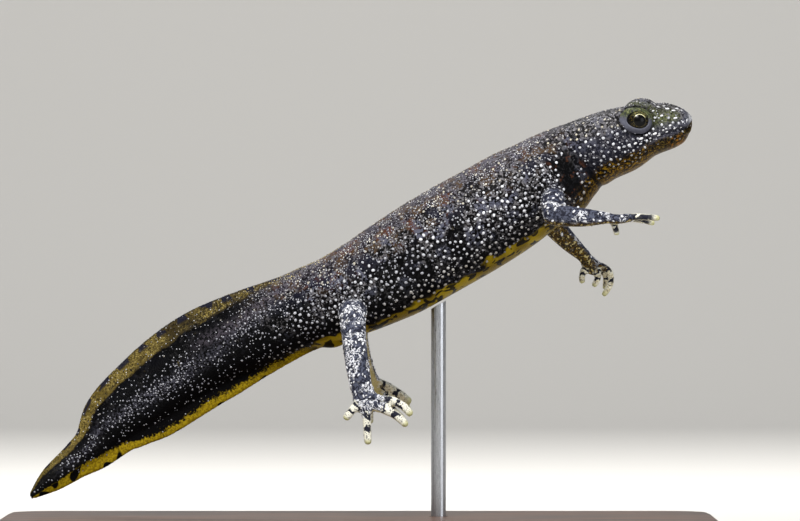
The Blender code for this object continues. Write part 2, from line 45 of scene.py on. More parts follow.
# The newt's own measures in mm: the centre (x, y, z) of the body, the height above and
# below it, half the width, and the height of the flesh above and below.
newt = {
    "stations": (
        (39.92, -0.87, 52.58, 0.35, 0.35, 0.55, 0.35, 0.35),  # snout tip
        (39.48, -0.85, 52.54, 1.02, 1.52, 1.45, 1.02, 1.52),
        (38.90, -0.82, 52.45, 1.58, 2.28, 2.12, 1.58, 2.28),  # nostrils
        (37.68, -0.76, 52.18, 2.45, 2.86, 2.85, 2.45, 2.86),
        (36.12, -0.66, 51.76, 2.85, 3.08, 3.40, 2.85, 3.08),
        (34.50, -0.50, 51.40, 3.20, 3.40, 3.85, 3.20, 3.40),  # eyes
        (31.68, -0.25, 50.32, 3.80, 4.08, 4.65, 3.80, 4.08),  # cheeks
        (28.68, -0.08, 49.18, 4.15, 4.30, 4.75, 4.15, 4.30),  # jaw corner
        (26.28, 0.00, 47.86, 4.64, 4.72, 4.25, 4.64, 4.72),  # throat fold
        (23.88, 0.00, 46.48, 5.10, 5.70, 4.70, 5.10, 5.70),
        (21.48, 0.00, 44.98, 5.42, 5.72, 5.15, 5.42, 5.72),  # shoulders
        (18.34, 0.00, 43.12, 5.82, 6.18, 5.45, 5.82, 6.18),
        (10.40, 0.00, 38.78, 5.78, 6.68, 5.70, 5.78, 6.68),  # belly
        (4.68, 0.00, 35.50, 5.50, 6.62, 5.30, 5.50, 6.62),
        (-0.26, 0.05, 32.57, 5.12, 5.78, 4.70, 5.12, 5.78),  # hips
        (-3.72, 0.15, 31.06, 4.76, 5.36, 4.10, 4.76, 5.30),  # vent
        (-7.02, 0.35, 29.68, 4.76, 5.15, 3.50, 4.42, 4.70),
        (-12.36, 0.80, 27.28, 5.28, 5.55, 2.95, 4.00, 4.35),
        (-18.04, 1.30, 24.58, 5.58, 6.20, 2.40, 3.55, 4.00),
        (-24.48, 1.65, 20.50, 5.02, 6.08, 1.80, 2.95, 3.75),
        (-27.72, 1.60, 18.34, 4.25, 5.65, 1.55, 2.50, 3.45),
        (-29.80, 1.45, 16.38, 3.75, 4.78, 1.35, 2.10, 2.95),
        (-32.24, 1.15, 13.30, 2.38, 3.22, 1.00, 1.35, 1.90),  # step in the fin
        (-34.14, 0.80, 11.69, 1.98, 2.42, 0.85, 1.10, 1.45),
        (-37.27, 0.00, 9.17, 1.35, 1.58, 0.62, 0.80, 0.95),
        (-39.24, -0.60, 7.38, 0.40, 0.42, 0.32, 0.32, 0.34),  # tail tip
    ),
    "tailFrom": 46.5,  # from here the body turns into the flat tail
    "tailFull": 52.5,
    "finRootHalf": 0.55,
    "finEdgeHalf": 0.26,
    "ventAt": 50.6,
    "ventRadii": (1.9, 1.15, 0.95),
    "ventSunk": 0.55,
    "headFrom": (27, 43),  # the head lies past this x and above this z
    "headEnd": 16,  # as far as this behind the snout the rings stand closer
    "headRings": 90,
    "bodyRings": 200,
    "sides": 88,
    "voxel": 0.19,
    "smoothTimes": 2,  # passes over all of the skin
    "smoothMore": 4,  # further passes over what lies past the next distance from the digits
    "smoothFrom": 0.9,
    "thinFrom": 1.4,  # the skin loses faces this far from the digits
    "kept": 0.46,  # share of the faces left there
    "fineMouth": 0.65,  # faces are split this near to the mouth and the nostrils
    "fineCrease": 0.22,  # and this near to the crease of the eyes, as a share of its reach
}


def ramp01(x, low, high):
    t = np.clip((x - low) / (high - low), 0, 1)
    return t * t * (3 - 2 * t)


def fall01(x, low, high):
    return 1 - ramp01(x, low, high)


def between(x, start, full, fade, end):
    return ramp01(x, start, full) * fall01(x, fade, end)


def bell(x, middle, width):
    return np.exp(-(((x - middle) / width) ** 2))


class Curve:
    # a smooth line through stations (x, y, z, sizes...), read at an array of distances

    def __init__(self, stations):
        self.table = np.array(stations, float)
        steps = np.linalg.norm(np.diff(self.table[:, :3], axis=0), axis=1)
        self.knots = np.concatenate(([0.0], np.cumsum(steps)))
        self.length = self.knots[-1]
        rise = np.diff(self.table, axis=0) / steps[:, None]
        share = (steps[:-1] / (steps[:-1] + steps[1:]))[:, None]
        inner = rise[:-1] * (1 - share) + rise[1:] * share
        limit = 2.5 * np.minimum(abs(rise[:-1]), abs(rise[1:]))
        held = np.where(rise[:-1] * rise[1:] > 0, np.clip(inner, -limit, limit), 0.0)
        inner[:, 3:] = held[:, 3:]
        self.slopes = np.vstack((rise[:1], inner, rise[-1:]))

    def spot(self, distance):
        i = np.clip(np.searchsorted(self.knots, distance) - 1, 0, len(self.knots) - 2)
        span = self.knots[i + 1] - self.knots[i]
        return i, span[:, None], ((distance - self.knots[i]) / span)[:, None]

    def read(self, distance):
        i, span, t = self.spot(distance)
        return (
            self.table[i] * (2 * t**3 - 3 * t**2 + 1)
            + self.slopes[i] * span * (t**3 - 2 * t**2 + t)
            + self.table[i + 1] * (3 * t**2 - 2 * t**3)
            + self.slopes[i + 1] * span * (t**3 - t**2)
        )

    def along(self, distance):
        i, span, t = self.spot(distance)
        slope = (
            (self.table[i + 1] - self.table[i]) * (6 * t - 6 * t**2) / span
            + self.slopes[i] * (3 * t**2 - 4 * t + 1)
            + self.slopes[i + 1] * (3 * t**2 - 2 * t)
        )[:, :3]
        return slope / np.linalg.norm(slope, axis=1)[:, None]


bodyCurve = Curve(newt["stations"])


def unit(v):
    return v / np.linalg.norm(v, axis=1)[:, None]


def bodyFrame(distance):
    distance = np.atleast_1d(np.asarray(distance, float))
    held = np.clip(distance, 0, bodyCurve.length)
    values = bodyCurve.read(held)
    forward = -bodyCurve.along(held)
    toLeft = unit(np.array((0.0, 1.0, 0.0)) - forward * forward[:, 1:2])
    centre = values[:, :3] - forward * (distance - held)[:, None]
    return centre, toLeft, np.cross(forward, toLeft), values[:, 3:]


def frameAt(distance):
    return (part[0] for part in bodyFrame(distance))


def bodyRelief(distance, height):
    # what the skin rises or sinks by, from the distance behind the snout and the share of
    # the height, -1 at the belly and 1 on the back
    flank = ramp01(height, -0.98, -0.5) * fall01(height, 0.35, 0.85)
    trunk = between(distance, 20, 23, 43, 46)
    groove = np.abs(((distance - 21.0) / 2.15) % 1.0 - 0.5) * 2
    jawFold = 0.30 * bell(distance - 0.9 * height, 14.6, 0.5)
    relief = -0.42 * bell(distance, 15.6, 1.25) * flank  # hollow of the neck
    relief -= jawFold * ramp01(-height, -0.45, 0.1)
    relief += 0.30 * bell(distance, 12.0, 1.6) * bell(height, -0.15, 0.45)  # swelling behind the cheek
    relief += 0.34 * bell(distance, 19.4, 1.5) * bell(height, 0.15, 0.42)  # shoulder
    relief -= 0.10 * trunk * flank * fall01(groove, 0.0, 0.42)  # folds between the ribs
    relief += 0.22 * bell(distance, 46.8, 1.9) * bell(height, -0.3, 0.35)  # root of the thigh
    relief -= 0.10 * bell(height, 1.0, 0.16) * ramp01(distance, 8, 14) * fall01(distance, 40, 48)  # back
    return relief


def bodyPoint(distance, angle, fullness):
    centre, toLeft, up, sizes = bodyFrame(distance)
    above, below, half, fleshAbove, fleshBelow = sizes.T
    c, s = np.cos(angle), np.sin(angle)
    full = np.where(s > 0, above, below)
    flesh = np.where(s > 0, fleshAbove, fleshBelow)
    roundAcross = half * np.abs(c) ** 0.92
    roundHeight = full * np.abs(s) ** 0.92
    # the tail is a rounded core with a thin fin above and below
    height = full * np.abs(s)
    share = np.clip(height / (flesh * 1.04), 0, 1)
    core = half * (1 - share**2.2) ** 0.62
    out = np.clip((height - flesh * 0.7) / np.maximum(full - flesh * 0.7, 0.01), 0, 1)
    root = np.minimum(newt["finRootHalf"], half * 0.8)
    fin = root + (np.minimum(newt["finEdgeHalf"], root) - root) * out
    thickness = np.hypot(core, fin) * np.sqrt(np.clip(1 - np.abs(s) ** 36, 0, 1))
    tail = ramp01(distance, newt["tailFrom"], newt["tailFull"])
    across = roundAcross * (1 - tail) + thickness * tail
    up01 = roundHeight * (1 - tail) + height * tail
    local = np.stack((np.sign(c) * across, np.sign(s) * up01), axis=1)
    outward = local / np.maximum(np.linalg.norm(local, axis=1), 1e-6)[:, None]
    relief = bodyRelief(distance, np.sign(s) * up01 / full)
    local = (local + outward * relief[:, None]) * fullness[:, None]
    return centre + toLeft * local[:, :1] + up * local[:, 1:]


def wrapGrid(bm, rings, sides, place):
    # a grid rolled into a closed tube: place takes ring numbers and turns, both as arrays
    grid = bmesh.ops.create_grid(bm, x_segments=rings - 1, y_segments=sides, size=0.5)["verts"]
    flat = np.array([v.co for v in grid])
    ring = np.rint((flat[:, 0] + 0.5) * (rings - 1)).astype(int)
    turn = np.rint((flat[:, 1] + 0.5) * sides).astype(int) % sides
    for vert, spot in zip(grid, place(ring, turn / sides)):
        vert.co = Vector(spot) * mm
    bmesh.ops.remove_doubles(bm, verts=grid, dist=2e-6)


def addTube(bm, curve, marks, across, sides=20, grow=0.0):
    # marks are distances along the curve and how full the tube is there; the ends are closed
    distances = np.array([m[0] for m in marks])
    fullness = np.array([m[1] for m in marks])
    held = np.clip(distances, 0, curve.length)
    values, along = curve.read(held), curve.along(held)
    centres = values[:, :3] + along * (distances - held)[:, None]
    wide = unit(np.array(across) - along * (along @ np.array(across))[:, None])
    thick = np.cross(along, wide)

    def place(ring, turn):
        angle = turn * math.tau
        halfWide = ((values[ring, 3] + grow) * fullness[ring] * np.cos(angle))[:, None]
        halfThick = ((values[ring, 4] + grow) * fullness[ring] * np.sin(angle))[:, None]
        return centres[ring] + wide[ring] * halfWide + thick[ring] * halfThick

    wrapGrid(bm, len(marks), sides, place)


def addBall(bm, centre, radii):
    placed = Matrix.Translation(Vector(centre) * mm) @ Matrix.Diagonal((*radii, 1.0))
    bmesh.ops.create_icosphere(bm, subdivisions=4, radius=mm, matrix=placed)


def linked(name, data):
    made = bpy.data.objects.new(name, data)
    bpy.context.scene.collection.objects.link(made)
    return made


def newObject(name, bm, material=None):
    bmesh.ops.recalc_face_normals(bm, faces=bm.faces)
    mesh = bpy.data.meshes.new(name)
    bm.to_mesh(mesh)
    bm.free()
    mesh.shade_smooth()
    if material:
        mesh.materials.append(material)
    return linked(name, mesh)


def meshPoints(mesh):
    flat = np.empty(len(mesh.vertices) * 3)
    mesh.vertices.foreach_get("co", flat)
    return flat.reshape(-1, 3) / mm


def meshNormals(mesh):
    flat = np.empty(len(mesh.vertices) * 3)
    mesh.vertex_normals.foreach_get("vector", flat)
    return flat.reshape(-1, 3)


def putPoints(mesh, points):
    mesh.vertices.foreach_set("co", (points * mm).ravel())
    mesh.update()


def putAttribute(mesh, name, values):
    layer = mesh.attributes.new(name, "FLOAT", "POINT")
    layer.data.foreach_set("value", np.asarray(values, np.float32))


def noiseAt(points, size, octaves=2, shift=0.0):
    # fractal noise about 0, with features of the given size in mm
    moved = Vector((shift, 0, 0))
    return np.array([noise.fractal(Vector(p) / size + moved, 1.0, 2.0, octaves) for p in points])


# Limbs: the root's distance behind the snout, the joints as offsets from the root, half the
# width and thickness at each, and the direction across the lower length.
limbRoot = {
    "drop": -1.9,  # below the body's middle
    "inset": 1.6,  # inside the flank
    "across": (1.0, 0.0, 0.0),
}
limbs = {
    "armRight": {
        "side": right, "at": 19.5,
        "joints": ((0.20, -3.2, -1.3), (0.22, -4.9, -2.6), (3.4, -5.75, -2.9), (6.95, -6.1, -3.0)),
        "across": (0.0, 1.0, 0.15),
        "sizes": ((1.50, 1.50), (1.42, 1.38), (1.36, 1.34), (1.20, 1.16), (0.84, 0.62)),
    },
    "armLeft": {
        "side": left, "at": 19.5,
        "joints": ((0.20, 2.3, -1.9), (0.35, 3.6, -3.7), (2.35, 4.4, -5.75), (4.5, 5.0, -7.75)),
        "across": (1.0, 0.5, 0.35),
        "sizes": ((1.50, 1.50), (1.42, 1.38), (1.38, 1.34), (1.18, 1.12), (0.80, 0.70)),
    },
    "legRight": {
        "side": right, "at": 46.4,
        "joints": ((0.0, -3.1, -1.4), (0.2, -4.7, -4.4), (0.6, -5.2, -7.4), (1.2, -5.45, -10.4)),
        "across": (1.0, 0.0, 0.0),
        "sizes": ((1.78, 1.70), (1.60, 1.54), (1.44, 1.36), (1.42, 1.24), (1.30, 1.00)),
    },
    "legLeft": {
        "side": left, "at": 46.4,
        "joints": ((-0.2, 3.1, -1.4), (0.25, 4.7, -4.3), (0.75, 5.2, -6.9), (1.7, 5.5, -9.3)),
        "across": (1.0, 0.0, 0.0),
        "sizes": ((1.78, 1.70), (1.60, 1.52), (1.44, 1.36), (1.40, 1.22), (1.24, 0.96)),
    },
}

# Hands and feet: the palm's line as offsets from the wrist, and the digits the same way.
hands = {
    "armRight": {
        "across": (0.0, 1.0, 0.15), "radius": 0.38,
        "palm": (
            (0.75, -0.1, -0.12, 1.02, 0.56),
            (1.5, -0.15, -0.1, 1.22, 0.52),
            (2.2, -0.2, 0.0, 1.00, 0.44),
        ),
        "digits": (
            ((0.25, 0.35, -0.1), (0.52, 0.55, -1.0), (0.8, 0.6, -2.05)),
            ((1.5, -0.7, 0.05), (3.5, -1.45, 0.15), (5.85, -1.75, -0.05)),
            ((1.7, -0.1, 0.0), (3.5, -0.25, -0.1), (5.25, -0.35, -0.68)),
            ((1.5, 0.5, -0.05), (2.9, 1.3, -0.1), (4.15, 1.9, -0.34)),
        ),
    },
    "armLeft": {
        "across": (1.0, 0.5, 0.35), "radius": 0.38,
        "palm": (
            (0.35, 0.05, -0.55, 0.98, 0.66),
            (0.8, 0.1, -1.05, 1.12, 0.58),
            (1.2, 0.15, -1.5, 0.90, 0.48),
        ),
        "digits": (
            ((0.1, -0.1, -0.8), (-0.45, -0.35, -1.8), (-0.55, -0.5, -3.1)),
            ((0.9, 0.0, -1.1), (1.45, -0.15, -2.05), (0.85, -0.4, -3.5)),
            ((1.3, 0.2, -0.8), (2.75, 0.4, -1.5), (3.05, 0.35, -2.5), (2.05, 0.15, -4.65)),
            ((1.1, 0.55, -1.0), (2.4, 1.35, -2.1), (2.3, 1.6, -3.85)),
        ),
    },
    "legRight": {
        "across": (1.0, 0.1, 0.15), "radius": 0.48,
        "palm": (
            (0.3, -0.05, -0.6, 1.50, 0.88),
            (0.6, -0.1, -1.25, 1.72, 0.74),
            (0.85, -0.1, -1.8, 1.40, 0.52),
        ),
        "digits": (
            ((-0.15, -0.1, -0.9), (-1.1, -0.2, -1.85), (-2.15, -0.25, -3.15)),
            ((0.5, -0.15, -1.5), (0.5, -0.3, -3.6), (0.65, -0.45, -6.15)),
            ((1.3, -0.1, -1.5), (3.4, -0.3, -2.3), (4.55, -0.4, -3.1), (5.3, -0.45, -3.95)),
            ((1.4, 0.05, -0.75), (3.85, 0.1, -1.0), (5.0, 0.12, -1.7), (5.85, 0.15, -2.7)),
            ((1.3, 0.35, -0.8), (2.65, 1.3, -1.0), (3.85, 1.85, -1.3)),
        ),
    },
    "legLeft": {
        "across": (0.9, 0.15, 0.45), "radius": 0.48,
        "palm": (
            (0.3, 0.05, -0.6, 1.28, 0.82),
            (0.5, 0.1, -1.25, 1.32, 0.70),
            (0.75, 0.1, -1.8, 1.10, 0.52),
        ),
        "digits": (
            ((-0.1, 0.0, -1.0), (-0.9, 0.15, -2.1), (-1.7, 0.2, -3.1)),
            ((0.3, 0.1, -1.5), (0.1, 0.25, -3.4), (0.2, 0.3, -5.2)),
            ((0.8, 0.1, -1.7), (3.1, 0.25, -3.65), (4.25, 0.3, -4.7)),
            ((0.9, 0.05, -1.4), (3.2, 0.1, -2.2), (4.3, 0.13, -2.85), (4.95, 0.15, -3.6)),
            ((0.55, -0.05, 0.1), (2.1, -0.12, -0.5), (3.65, -0.2, -1.4), (5.2, -0.25, -2.6)),
        ),
    },
}
# how full a digit is at shares of its length, a little thicker at each joint
digitMarks = (
    (0, 0), (0, 1), (0.12, 1), (0.24, 0.95), (0.36, 1.04), (0.48, 0.95), (0.6, 0.94),
    (0.7, 1.03), (0.8, 0.98), (0.9, 0.96), (0.95, 0.86), (0.985, 0.62), (1.0, 0),
)
digitGrown = 0.05


def limbCurves(limb):
    centre, toLeft, up, sizes = frameAt(limb["at"])
    root = centre + toLeft * (limb["side"] * (sizes[2] - limbRoot["inset"])) + up * limbRoot["drop"]
    points = [root] + [root + np.array(offset) for offset in limb["joints"]]
    stations = [(*p, *size) for p, size in zip(points, limb["sizes"])]
    return Curve(stations[:3]), Curve(stations[2:])


def digitCurves(name):
    hand = hands[name]
    wrist = limbCurves(limbs[name])[1].table[-1, :3]
    for points in hand["digits"]:
        radii = np.linspace(1.12, 0.90, len(points)) * hand["radius"]
        yield Curve([(*(wrist + np.array(p)), r, r) for p, r in zip(points, radii)])


def addLimb(bm, limb):
    upper, lower = limbCurves(limb)
    ends = [(t, 1.0) for t in np.linspace(0, upper.length, 12)]
    addTube(bm, upper, [(0, 0)] + ends + [(upper.length, 0)], limbRoot["across"])
    reach = lower.table[0, 4]
    roundEnd = [(-reach * math.cos(a), math.sin(a)) for a in np.radians((0, 12, 26, 40, 55, 70))]
    shaft = [(t, 1.0) for t in np.linspace(0, lower.length, 18)]
    addTube(bm, lower, roundEnd + shaft + [(lower.length, 0)], limb["across"])


def addHand(bm, name):
    hand = hands[name]
    lower = limbCurves(limbs[name])[1]
    wrist = lower.table[-1]
    heel = wrist[:3] - 0.6 * lower.along(np.array([lower.length]))[0]
    run = [(*heel, wrist[3], wrist[4])]
    run += [(*(wrist[:3] + np.array(p[:3])), *p[3:]) for p in hand["palm"]]
    palm = Curve(run)
    marks = [(0, 0)] + [(t, 1.0) for t in np.linspace(0, palm.length, 12)]
    marks += [(palm.length + 0.2, 0.85), (palm.length + 0.35, 0.5), (palm.length + 0.4, 0)]
    addTube(bm, palm, marks, hand["across"])
    for digit in digitCurves(name):
        addTube(bm, digit, [(t * digit.length, f) for t, f in digitMarks], hand["across"], 14, digitGrown)


# Eyes, the swelling round each, and the crease round the lids
eyes = {
    "back": 6.08,
    "out": 3.05,
    "up": 1.27,
    "radius": 1.55,
    "turnForward": math.radians(15),
    "turnUp": math.radians(-2.6),
    "brow": (2.4, 2.2, 2.6),
    "browIn": 0.7,
    "browAhead": 0.55,
    "browUp": -0.03,
    "roll": math.radians(-25),
    "oval": (1.90, 2.38, 1.64),  # the crease's reach ahead, behind, and above or below
    "sunk": 0.40,
    "crease": 0.20,
    "socket": 1.25,  # radius of the hollow that the eyeball sits in
    "socketTurns": (64, 80, 82),  # degrees from the gaze: where its wall starts, is full, and ends
    "cornea": 0.07,  # how far the eyeball bulges at the middle of the gaze
    "corneaTurn": 34,
}


def eyePlace(side):
    centre, toLeft, up, _ = frameAt(eyes["back"])
    forward = np.cross(toLeft, up)
    eye = centre + toLeft * (side * eyes["out"]) + up * eyes["up"]
    flat = math.cos(eyes["turnUp"])
    look = (
        toLeft * (side * flat * math.cos(eyes["turnForward"]))
        + forward * (flat * math.sin(eyes["turnForward"]))
        + up * math.sin(eyes["turnUp"])
    )
    ahead = forward - look * (forward @ look)
    ahead /= np.linalg.norm(ahead)
    return eye, look, ahead, np.cross(look, ahead) * side * -1


def lidAxes(side):
    # the corners of the eye lie flatter than the head
    _, _, ahead, over = eyePlace(side)
    c, s = math.cos(eyes["roll"]), math.sin(eyes["roll"])
    return ahead * c + over * s, over * c - ahead * s


def lidOval(points, side):
    # 1 on the crease round the lids, less inside it and more outside
    eye, look, _, _ = eyePlace(side)
    ahead, over = lidAxes(side)
    v = points - eye
    along, up = v @ ahead, v @ over
    share = np.hypot(along / np.where(along > 0, *eyes["oval"][:2]), up / eyes["oval"][2])
    return np.where(v @ look > -0.6, share, 9.0)


mouth = {
    # distance behind the snout and share of the height
    "line": (
        (0.27, -0.84), (0.6, -0.59), (1.1, -0.44), (2.1, -0.36), (3.7, -0.385),
        (4.7, -0.44), (5.7, -0.475), (6.9, -0.465), (8.9, -0.30),
    ),
    "depth": 0.42,
    "width": 0.17,
    "lip": 0.16,
    "lipAt": 0.42,
    "lipWidth": 0.30,
}
nostril = {"at": (0.85, 0.42), "radius": 0.20, "depth": 0.42, "rim": 0.10, "rimAt": 0.42, "rimWidth": 0.2}


def headSurface(distance, share, side):
    centre, toLeft, up, sizes = frameAt(distance)
    height = share * (sizes[0] if share > 0 else sizes[1])
    return centre + toLeft * (side * sizes[2] * math.sqrt(max(0.0, 1 - share**2))) + up * height


def mouthPoints():
    points = []
    for side in (left, right):
        line = Curve([(*headSurface(d, share, side), 0.0) for d, share in mouth["line"]])
        points.extend(line.read(np.linspace(0, line.length, 160))[:, :3])
    return np.array(points)


def applied(obj):
    graph = bpy.context.evaluated_depsgraph_get()
    mesh = bpy.data.meshes.new_from_object(obj.evaluated_get(graph))
    bpy.data.objects.remove(obj)
    return mesh


def nearestRun(points, targets):
    # the distance from each point to the nearest target, and which one it is
    tree = kdtree.KDTree(len(targets))
    for i, target in enumerate(targets):
        tree.insert(target, i)
    tree.balance()
    found = [tree.find(p) for p in points]
    return np.array([f[2] for f in found]), np.array([f[1] for f in found])


def inHead(points):
    return (points[:, 0] > newt["headFrom"][0]) & (points[:, 2] > newt["headFrom"][1])


def loftBody(bm):
    length = bodyCurve.length
    distances = np.concatenate((
        (-0.16, -0.14, -0.06, 0.08),
        np.linspace(0.25, newt["headEnd"], newt["headRings"]),
        np.linspace(newt["headEnd"] + 0.2, length - 0.3, newt["bodyRings"]),
        (length - 0.1, length, length + 0.08, length + 0.14, length + 0.16),
    ))
    fullness = np.ones(len(distances))
    fullness[:4] = (0, 0.45, 0.8, 0.97)
    fullness[-5:] = (1, 0.95, 0.7, 0.35, 0)

    def place(ring, turn):
        return bodyPoint(distances[ring], turn * math.tau - math.pi / 2, fullness[ring])

    wrapGrid(bm, len(distances), newt["sides"], place)


def addSwellings(bm):
    # the brows and the vent
    for side in (left, right):
        eye, look, ahead, over = eyePlace(side)
        brow = eye - look * eyes["browIn"] + ahead * eyes["browAhead"] + over * eyes["browUp"]
        addBall(bm, brow, eyes["brow"])
    vent, _, up, sizes = frameAt(newt["ventAt"])
    addBall(bm, vent - up * (sizes[1] - newt["ventSunk"]), newt["ventRadii"])


def fused(obj):
    remesh = obj.modifiers.new("voxels", "REMESH")
    remesh.mode = "VOXEL"
    remesh.voxel_size = newt["voxel"] * mm
    return applied(obj)


def smoothed(mesh, away):
    # all of the skin a little, and what is far from the digits more
    bm = bmesh.new()
    bm.from_mesh(mesh)
    bm.verts.ensure_lookup_table()
    coarse = [bm.verts[i] for i in np.where(away > newt["smoothFrom"])[0]]
    allAxes = {"use_axis_x": True, "use_axis_y": True, "use_axis_z": True}
    for verts, times in ((bm.verts, newt["smoothTimes"]), (coarse, newt["smoothMore"])):
        for _ in range(times):
            bmesh.ops.smooth_vert(bm, verts=verts, factor=0.5, **allAxes)
    print("skin remeshed:", len(bm.faces), "faces")
    return newObject("skin", bm)


def thinned(obj, chosen):
    plain = obj.vertex_groups.new(name="plain")
    plain.add(np.where(chosen)[0].tolist(), 1.0, "REPLACE")
    fewer = obj.modifiers.new("fewer", "DECIMATE")
    fewer.ratio = newt["kept"]
    fewer.vertex_group = "plain"
    return applied(obj)


def refined(mesh):
    # finer faces where the mouth, the nostrils and the crease of the eyes are cut
    points = meshPoints(mesh)
    holes = [headSurface(*nostril["at"], side) for side in (left, right)]
    away, _ = nearestRun(points, np.concatenate((mouthPoints(), holes)))
    crease = np.minimum(*(np.abs(lidOval(points, side) - 1.0) for side in (left, right)))
    bm = bmesh.new()
    bm.from_mesh(mesh)
    close = (away < newt["fineMouth"]) | (crease < newt["fineCrease"])
    edges = [e for e in bm.edges if close[e.verts[0].index] and close[e.verts[1].index]]
    bmesh.ops.subdivide_edges(bm, edges=edges, cuts=1, use_grid_fill=True)
    bmesh.ops.triangulate(bm, faces=[f for f in bm.faces if len(f.verts) > 4])
    print("skin refined:", len(bm.faces), "faces")
    return newObject("skin", bm)


def buildSkin():
    bm = bmesh.new()
    loftBody(bm)
    for name, limb in limbs.items():
        addLimb(bm, limb)
        addHand(bm, name)
    addSwellings(bm)
    print("body lofted:", len(bm.faces), "faces")
    mesh = fused(newObject("skin", bm))
    points = meshPoints(mesh)
    curves = [curve for name in hands for curve in digitCurves(name)]
    digits = np.concatenate([c.read(np.linspace(0, c.length, 30))[:, :3] for c in curves])
    away, _ = nearestRun(points, digits)
    return refined(thinned(smoothed(mesh, away), (away > newt["thinFrom"]) & ~inHead(points)))


def socketed(p, normals, side):
    # the head's points sunk inside the crease of the lids, and opened for the eyeball
    eye, look, _, _ = eyePlace(side)
    oval = lidOval(p, side)
    p = p - look * (eyes["sunk"] * fall01(oval, 0.82, 0.98))[:, None] * (oval < 5)[:, None]
    p = p - normals * (eyes["crease"] * bell(oval, 1.05, 0.09))[:, None]
    v = p - eye
    reach = np.linalg.norm(v, axis=1)
    facing = np.degrees(np.arccos(np.clip((v @ look) / np.maximum(reach, 1e-6), -1, 1)))
    start, full, end = eyes["socketTurns"]
    wall = ramp01(facing, start, full)
    hollow = np.minimum(reach, eyes["socket"]) * (1 - wall) + reach * wall
    target = np.where(facing < end, hollow, reach)
    return eye + v / np.maximum(reach, 1e-6)[:, None] * target[:, None]


def carveHead(mesh):
    points, normals = meshPoints(mesh), meshNormals(mesh)
    head = np.where(inHead(points))[0]
    p, n = points[head], normals[head]
    away, _ = nearestRun(p, mouthPoints())
    inward = mouth["depth"] * bell(away, 0, mouth["width"])
    lips = mouth["lip"] * bell(away, mouth["lipAt"], mouth["lipWidth"])
    p = p + n * (lips - inward)[:, None]
    for side in (left, right):
        near = np.linalg.norm(p - headSurface(*nostril["at"], side), axis=1)
        rim = nostril["rim"] * bell(near, nostril["rimAt"], nostril["rimWidth"])
        p = p + n * (rim - nostril["depth"] * bell(near, 0, nostril["radius"]))[:, None]
        p = socketed(p, n, side)
    points[head] = p
    putPoints(mesh, points)


def streakAt(d):
    # how high the pale streak of the tail runs, as a share of the body's height
    distances = (52, 55, 60, 64, 73, 78, 81, 84)
    return np.interp(d, distances, (0.45, 0.32, 0.12, -0.05, -0.11, -0.05, 0.14, 0.05))


def bodyPlaces(points):
    # each point's distance behind the snout, its place across and up, and the body's sizes there
    samples = np.linspace(0, bodyCurve.length, 1200)
    centre, toLeft, up, sizes = bodyFrame(samples)
    _, which = nearestRun(points, centre)
    local = points - centre[which]
    across, height = (local * toLeft[which]).sum(1), (local * up[which]).sum(1)
    return samples[which], across, height, sizes[which].T


def limbShare(d, across, spread):
    nearRoot = between(d, 15, 17, 25, 27) + between(d, 40, 42.5, 53, 56)
    limb = ramp01(spread, 1.06, 1.35) * np.clip(nearRoot, 0, 1)
    return np.maximum(limb, (np.abs(across) > 6.2).astype(float))


def digitShare(points, limb):
    # how far out along its digit each point lies
    runs, shares, radii = [], [], []
    steps = np.linspace(0, 1, 60)
    for name, hand in hands.items():
        for curve in digitCurves(name):
            runs.append(curve.read(steps * curve.length)[:, :3])
            shares.append(steps)
            radii.append(np.full(len(steps), hand["radius"]))
    runs, shares, radii = (np.concatenate(part) for part in (runs, shares, radii))
    away, index = nearestRun(points, runs)
    return shares[index] * (away < radii[index] * 1.9) * (limb > 0.5)


def paintedShadeShare(points, d, rise, mouthAway, eyeRing):
    # painted shade: black along the line of the mouth, in the crease of the eyes, in the hollow of the neck
    # and in the fold before it
    dark = 0.75 * bell(mouthAway, 0, 0.12) + 0.95 * bell(eyeRing, 1.02, 0.10)
    ragged = d + 0.7 * noiseAt(points, 1.3, 2, 21)
    hollow = between(ragged, 14.9, 15.6, 17.6, 18.3) * ramp01(rise, -0.85, -0.5)
    hollow *= fall01(rise + 0.2 * noiseAt(points, 1.1, 2, 22), 0.20, 0.42)
    return dark + (0.97 * hollow + 0.8 * bell(d - 0.9 * rise, 14.6, 0.45) * ramp01(-rise, -0.45, 0.0))


def paleShare(d, rise, mouthAway):
    # the streak of the tail, the shoulder, the lips, the back and the tip of the snout
    pale = 0.9 * bell(rise, streakAt(d), 0.15) * between(d, 51, 55, 84, 90)
    pale += 0.7 * bell(d, 18.6, 0.9) * bell(rise, 0.15, 0.4)
    pale += 0.8 * bell(mouthAway, 0.6, 0.3) * (rise > -0.42)
    pale += 0.5 * bell(rise, 0.92, 0.16) * between(d, 12, 16, 60, 66)
    return np.clip(pale + 0.8 * fall01(d, 0.2, 1.5), 0, 1)


def greenShare(d, rise, eyeRing):
    # between the eye and the nostril, and over the eye
    green = bell(rise, 0.35, 0.32) * fall01(d, 4.6, 5.6) * ramp01(d, 0.8, 1.8)
    green += 0.7 * bell(eyeRing, 1.25, 0.18) * ramp01(rise, 0.45, 0.6) * fall01(d, 6.2, 7.0)
    return np.clip(green, 0, 1)


